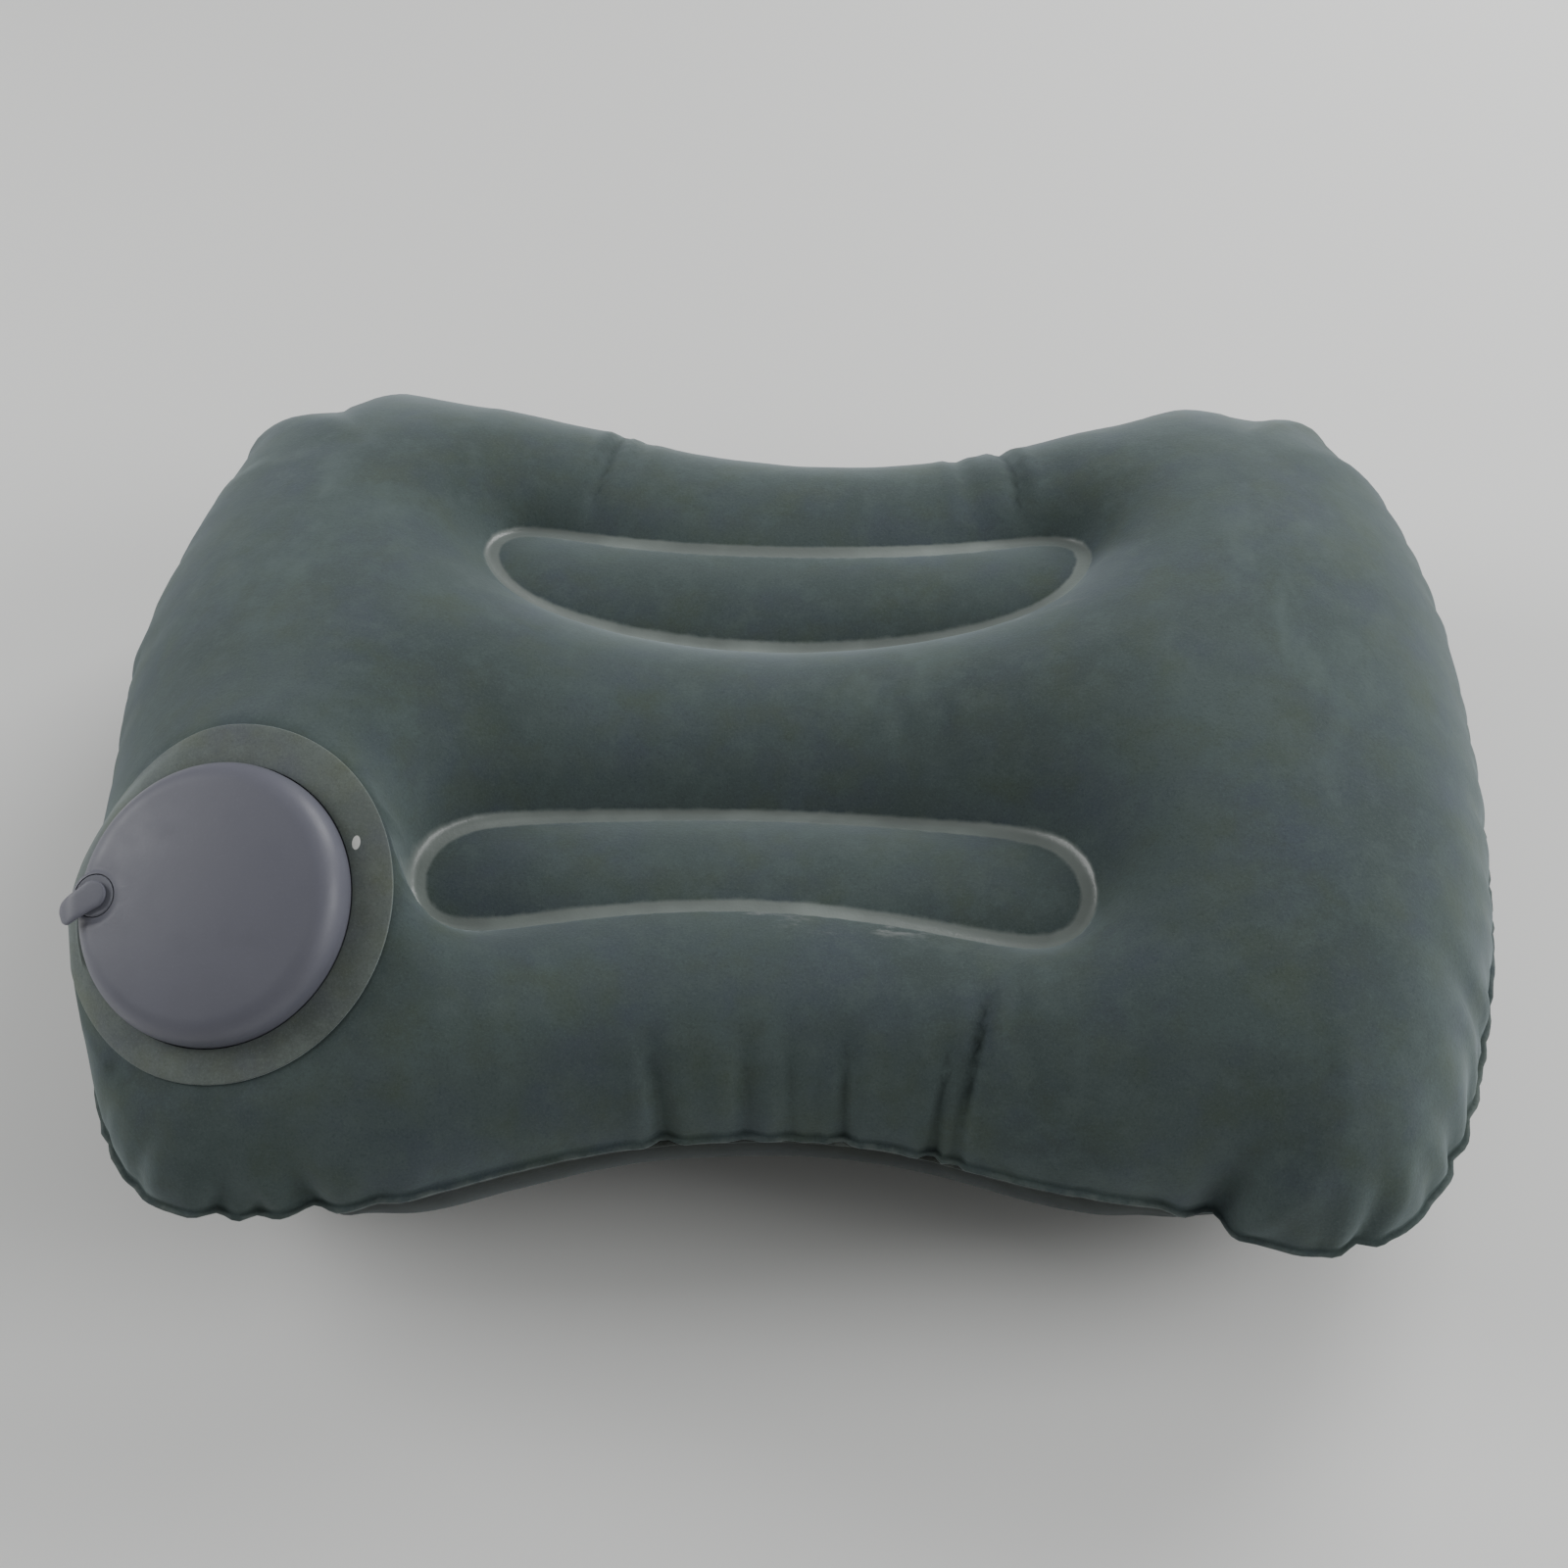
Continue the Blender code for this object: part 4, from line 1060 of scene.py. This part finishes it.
def flock(name, colour, marks=True, speck=None, sheen=0.35):
    """Short flock on film: a fine nap, brushed paler in patches, and melted smooth and pale at the welds.
    Along the seam's flange that paleness is partly a painted highlight.

    With marks, there are chalky scuffs where the pillow is handled.
    """
    finish = Finish(name, colour, 0.92, sheen=sheen)
    finish.set("Sheen Tint", (0.75, 0.86, 0.9, 1))
    finish.set("Specular IOR Level", 0.2)
    finish.tint(scaled(colour, 1.28), finish.noise(14, 3, 0.55, low=0.4, high=0.8))
    finish.tint(scaled(colour, 0.78), finish.noise(9, 2, 0.5, stretch=(1, 1.4, 1), low=0.5, high=0.8))
    bluish = (colour[0], 0.93 * colour[1], 1.2 * colour[2])
    greenish = (1.06 * colour[0], 1.05 * colour[1], 0.8 * colour[2])
    finish.tint(bluish, finish.product(finish.noise(33, 3, 0.6, low=0.45, high=0.7), 0.7))
    finish.tint(greenish, finish.product(finish.noise(47, 3, 0.6, low=0.48, high=0.72), 0.7))
    finish.tint(scaled(colour, 1.3), finish.product(finish.noise(110, 3, 0.7, low=0.48, high=0.75), 0.7))
    finish.tint(scaled(colour, 1.45), finish.product(
        finish.noise(60, 4, 0.65, stretch=(0.5, 1, 1), low=0.5, high=0.9),
        finish.noise(7, 1, low=0.45, high=0.7)))
    finish.tint(scaled(colour, 1.6), finish.product(finish.noise(1500, 2, 0.6, low=0.5, high=0.85), 0.55))
    finish.tint(scaled(colour, 0.55), finish.product(finish.noise(1100, 2, 0.6, low=0.52, high=0.85), 0.5))
    if speck:
        finish.tint((0.75, 0.75, 0.72), finish.ranged(finish.patch(speck, (0.0020, 0.0032, 0.004)), 0.4, 0.5))
    if marks:
        chalk = finish.noise(160, 5, 0.7, stretch=(0.35, 1, 1), low=0.52, high=0.66)
        for centre, reach in (((0.036, -0.089, 0.104), (0.045, 0.006, 0.02)),
                              ((-0.004, -0.086, 0.104), (0.012, 0.004, 0.02)),
                              ((0.05, 0.03, 0.115), (0.06, 0.004, 0.02))):
            finish.tint((0.2, 0.21, 0.205), finish.product(finish.patch(centre, reach), chalk))
        scuff = finish.noise(45, 4, 0.6, stretch=(1, 0.5, 1), low=0.5, high=0.75)
        for centre, reach in (((0.035, 0.0, 0.117), (0.035, 0.03, 0.03)),
                              ((0.16, 0.02, 0.13), (0.05, 0.11, 0.05)),
                              ((-0.16, 0.05, 0.13), (0.05, 0.09, 0.05))):
            finish.tint(scaled(colour, 1.6), finish.product(finish.patch(centre, reach), scuff))
        # Pale melt at the welds; along the seam's flange it is partly a painted highlight.
        pressed = finish.node("Attribute")
        pressed.attribute_name = "pressed"
        ragged = finish.node("Math")
        ragged.operation = "ADD"
        finish.link(pressed.outputs["Fac"], ragged.inputs[0])
        finish.link(finish.ranged(finish.noise(220, 3, 0.6), 0.0, 1.0, -0.3, 0.3), ragged.inputs[1])
        weld = finish.ranged(ragged.outputs[0], 0.25, 0.85)
        finish.tint(WELD_COLOUR, weld)
        finish.tint(scaled(WELD_COLOUR, 1.5), finish.product(weld, finish.noise(35, 3, low=0.45, high=0.75)))
        finish.link(finish.ranged(weld, 0.0, 1.0, 0.92, 0.33), finish.shader.inputs["Roughness"])
        finish.link(finish.ranged(weld, 0.0, 1.0, 0.2, 0.55), finish.shader.inputs["Specular IOR Level"])
    finish.relief(finish.noise(900, 3, 0.6), 0.00012, 0.6)
    finish.relief(finish.noise(120, 3, 0.5), 0.00025, 0.5)
    return finish.done()


def vinyl(name, colour, roughness=0.5):
    """Soft moulded vinyl: matte, with a faint grain and a little bloom."""
    finish = Finish(name, colour, roughness)
    finish.set("Specular IOR Level", 0.4)
    finish.tint(scaled(colour, 1.07), finish.noise(18, 2, 0.5, low=0.4, high=0.75))
    finish.tint(scaled(colour, 0.93), finish.noise(40, 3, 0.6, low=0.5, high=0.8))
    finish.tint(scaled(colour, 1.25), finish.product(finish.noise(1300, 2, 0.6, low=0.55, high=0.85), 0.35))
    rough = finish.noise(70, 3, 0.6)
    varied = finish.ranged(rough, 0.3, 0.7, roughness - 0.06, roughness + 0.08)
    finish.link(varied, finish.shader.inputs["Roughness"])
    finish.relief(finish.noise(1200, 2, 0.5), 0.00005, 0.5)
    return finish.done()


def foam(name, colour):
    finish = Finish(name, colour, 0.95, sheen=0.2)
    cells = finish.node("TexVoronoi", Scale=900)
    finish.link(finish.where, cells.inputs["Vector"])
    pores = finish.ranged(cells.outputs["Distance"], 0.1, 0.5)
    # Painted shade: the foam is darkened in the hollow of each pore.
    finish.tint(scaled(colour, 0.5), finish.ranged(cells.outputs["Distance"], 0.35, 0.05))
    finish.tint(scaled(colour, 1.2), finish.noise(30, 3, low=0.45, high=0.75))
    finish.relief(pores, 0.0004)
    return finish.done()


def finish_nodes(frame):
    """The CAD nodes that keep their shapes."""
    web = vinyl("web_vinyl", (0.20, 0.22, 0.22), 0.45)
    fitting = vinyl("valve_plastic", (0.060, 0.066, 0.070), 0.4)
    seat = vinyl("intake_plastic", (0.140, 0.143, 0.172), 0.45)
    rubber = vinyl("flap_silicone", (0.30, 0.30, 0.30), 0.55)
    finishes = {
        "rear_tie_band": web, "front_tie_band": web,
        "intake_valve_seat": seat, "intake_valve_flap": rubber,
        "outlet_valve_seat": fitting, "outlet_valve_flap": rubber,
        "release_valve_body": fitting, "release_valve_cap": fitting,
    }
    for name, material in finishes.items():
        for slot in frame["nodes"][name].material_slots:
            slot.material = material


# ------------------------ stage


FLOOR_REACH = 12
FLOOR_Z = -0.05 * MM
FLOOR_COLOUR = (0.85, 0.85, 0.84, 1)
FLOOR_ROUGHNESS = 0.8
CAMERA_AIM = Vector((5.06 * MM, -5.53 * MM, 0))
CAMERA_DISTANCE = 766.2 * MM
CAMERA_AZIMUTH = math.radians(6.434)
CAMERA_ELEVATION = math.radians(49.286)
CAMERA_ROLL = math.radians(-3.377)
CAMERA_LENS = 52.48
CAMERA_SENSOR = 36
CAMERA_SHIFT = (-25.1 / 1600, 18.7 / 1600)
LIGHT_SIZE = 0.9
LIGHTS = (
    ("left", (-1.386, 0.1, 0.8), 13.0),
    ("behind", (0.8, 1.1, 0.95), 17.0),
    ("right", (1.386, -0.25, 0.8), 14.0),
)
WORLD_COLOUR = (0.96, 0.98, 0.96, 1)
WORLD_STRENGTH = 0.25


def stage_and_camera():
    floor = bpy.data.meshes.new("floor")
    corners = [(x * FLOOR_REACH, y * FLOOR_REACH, FLOOR_Z) for x, y in ((-1, -1), (1, -1), (1, 1), (-1, 1))]
    floor.from_pydata(corners, [], [(0, 1, 2, 3)])
    paint = bpy.data.materials.new("pale_floor")
    paint.use_nodes = True
    shader = paint.node_tree.nodes["Principled BSDF"]
    shader.inputs["Base Color"].default_value = FLOOR_COLOUR
    shader.inputs["Roughness"].default_value = FLOOR_ROUGHNESS
    floor.materials.append(paint)
    linked("floor", floor)
    add_camera()
    for name, at, power in LIGHTS:
        area_light(name, at, power)
    world = bpy.data.worlds.new("world")
    bpy.context.scene.world = world
    world.use_nodes = True
    background = world.node_tree.nodes["Background"]
    background.inputs["Color"].default_value = WORLD_COLOUR
    background.inputs["Strength"].default_value = WORLD_STRENGTH


def add_camera():
    level = math.cos(CAMERA_ELEVATION)
    back = Vector((math.sin(CAMERA_AZIMUTH) * level, -math.cos(CAMERA_AZIMUTH) * level,
                   math.sin(CAMERA_ELEVATION)))
    right = (-back).cross(Vector((0, 0, 1))).normalized()
    up = right.cross(-back)
    across = right * math.cos(CAMERA_ROLL) + up * math.sin(CAMERA_ROLL)
    upward = up * math.cos(CAMERA_ROLL) - right * math.sin(CAMERA_ROLL)
    data = bpy.data.cameras.new("camera")
    data.lens = CAMERA_LENS
    data.sensor_width = CAMERA_SENSOR
    data.shift_x, data.shift_y = CAMERA_SHIFT
    camera = linked("camera", data)
    at = CAMERA_AIM + CENTRE + back * CAMERA_DISTANCE
    camera.matrix_world = Matrix.Translation(at) @ Matrix((across, upward, back)).transposed().to_4x4()
    bpy.context.scene.camera = camera


def area_light(name, at, power):
    light = bpy.data.lights.new(name, "AREA")
    light.energy = power
    light.size = LIGHT_SIZE
    lamp = linked(name, light)
    lamp.location = at
    lamp.rotation_euler = Vector(at).to_track_quat("Z", "Y").to_euler()


def main():
    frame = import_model()
    stage_and_camera()
    seam = Seam()
    fabric = flock("flocked_film", FABRIC_COLOUR)
    # The underside's darker colour and weaker sheen are painted shade beneath the pillow.
    underside = flock("flocked_film_under_painted_shade", UNDERSIDE_PAINTED_SHADE_COLOUR, sheen=0.18)
    pump = Matrix.Translation(CENTRE) @ facing_frame(PUMP_AT, PUMP_FACING)
    pump_seat = Seat(facing_frame(PUMP_AT, PUMP_FACING), HOLE_RADIUS, SEAT_RADIUS, curled=True)
    release_seat = Seat(facing_frame(RELEASE_AT, RELEASE_FACING), RELEASE_HOLE_RADIUS, RELEASE_SEAT_RADIUS)
    top = make_skin("top_skin", 1, seam, pump_seat, fabric)
    make_skin("bottom_skin", -1, seam, release_seat, underside)
    lifted = draped(pump, top)
    soft = vinyl("bulb_vinyl", BULB_COLOUR, 0.44)
    speck = tuple(pump @ Vector(COLLAR_SPECK))
    pump_collar(pump, lifted, flock("collar_flock", COLLAR_COLOUR, marks=False, speck=speck))
    pump_cup(pump, lifted, vinyl("drum_moulding", DRUM_COLOUR))
    foam_ring(frame, foam("open_cell_foam", FOAM_COLOUR))
    pump_bulb(pump, soft)
    intake_plug(pump, soft)
    finish_nodes(frame)


main()
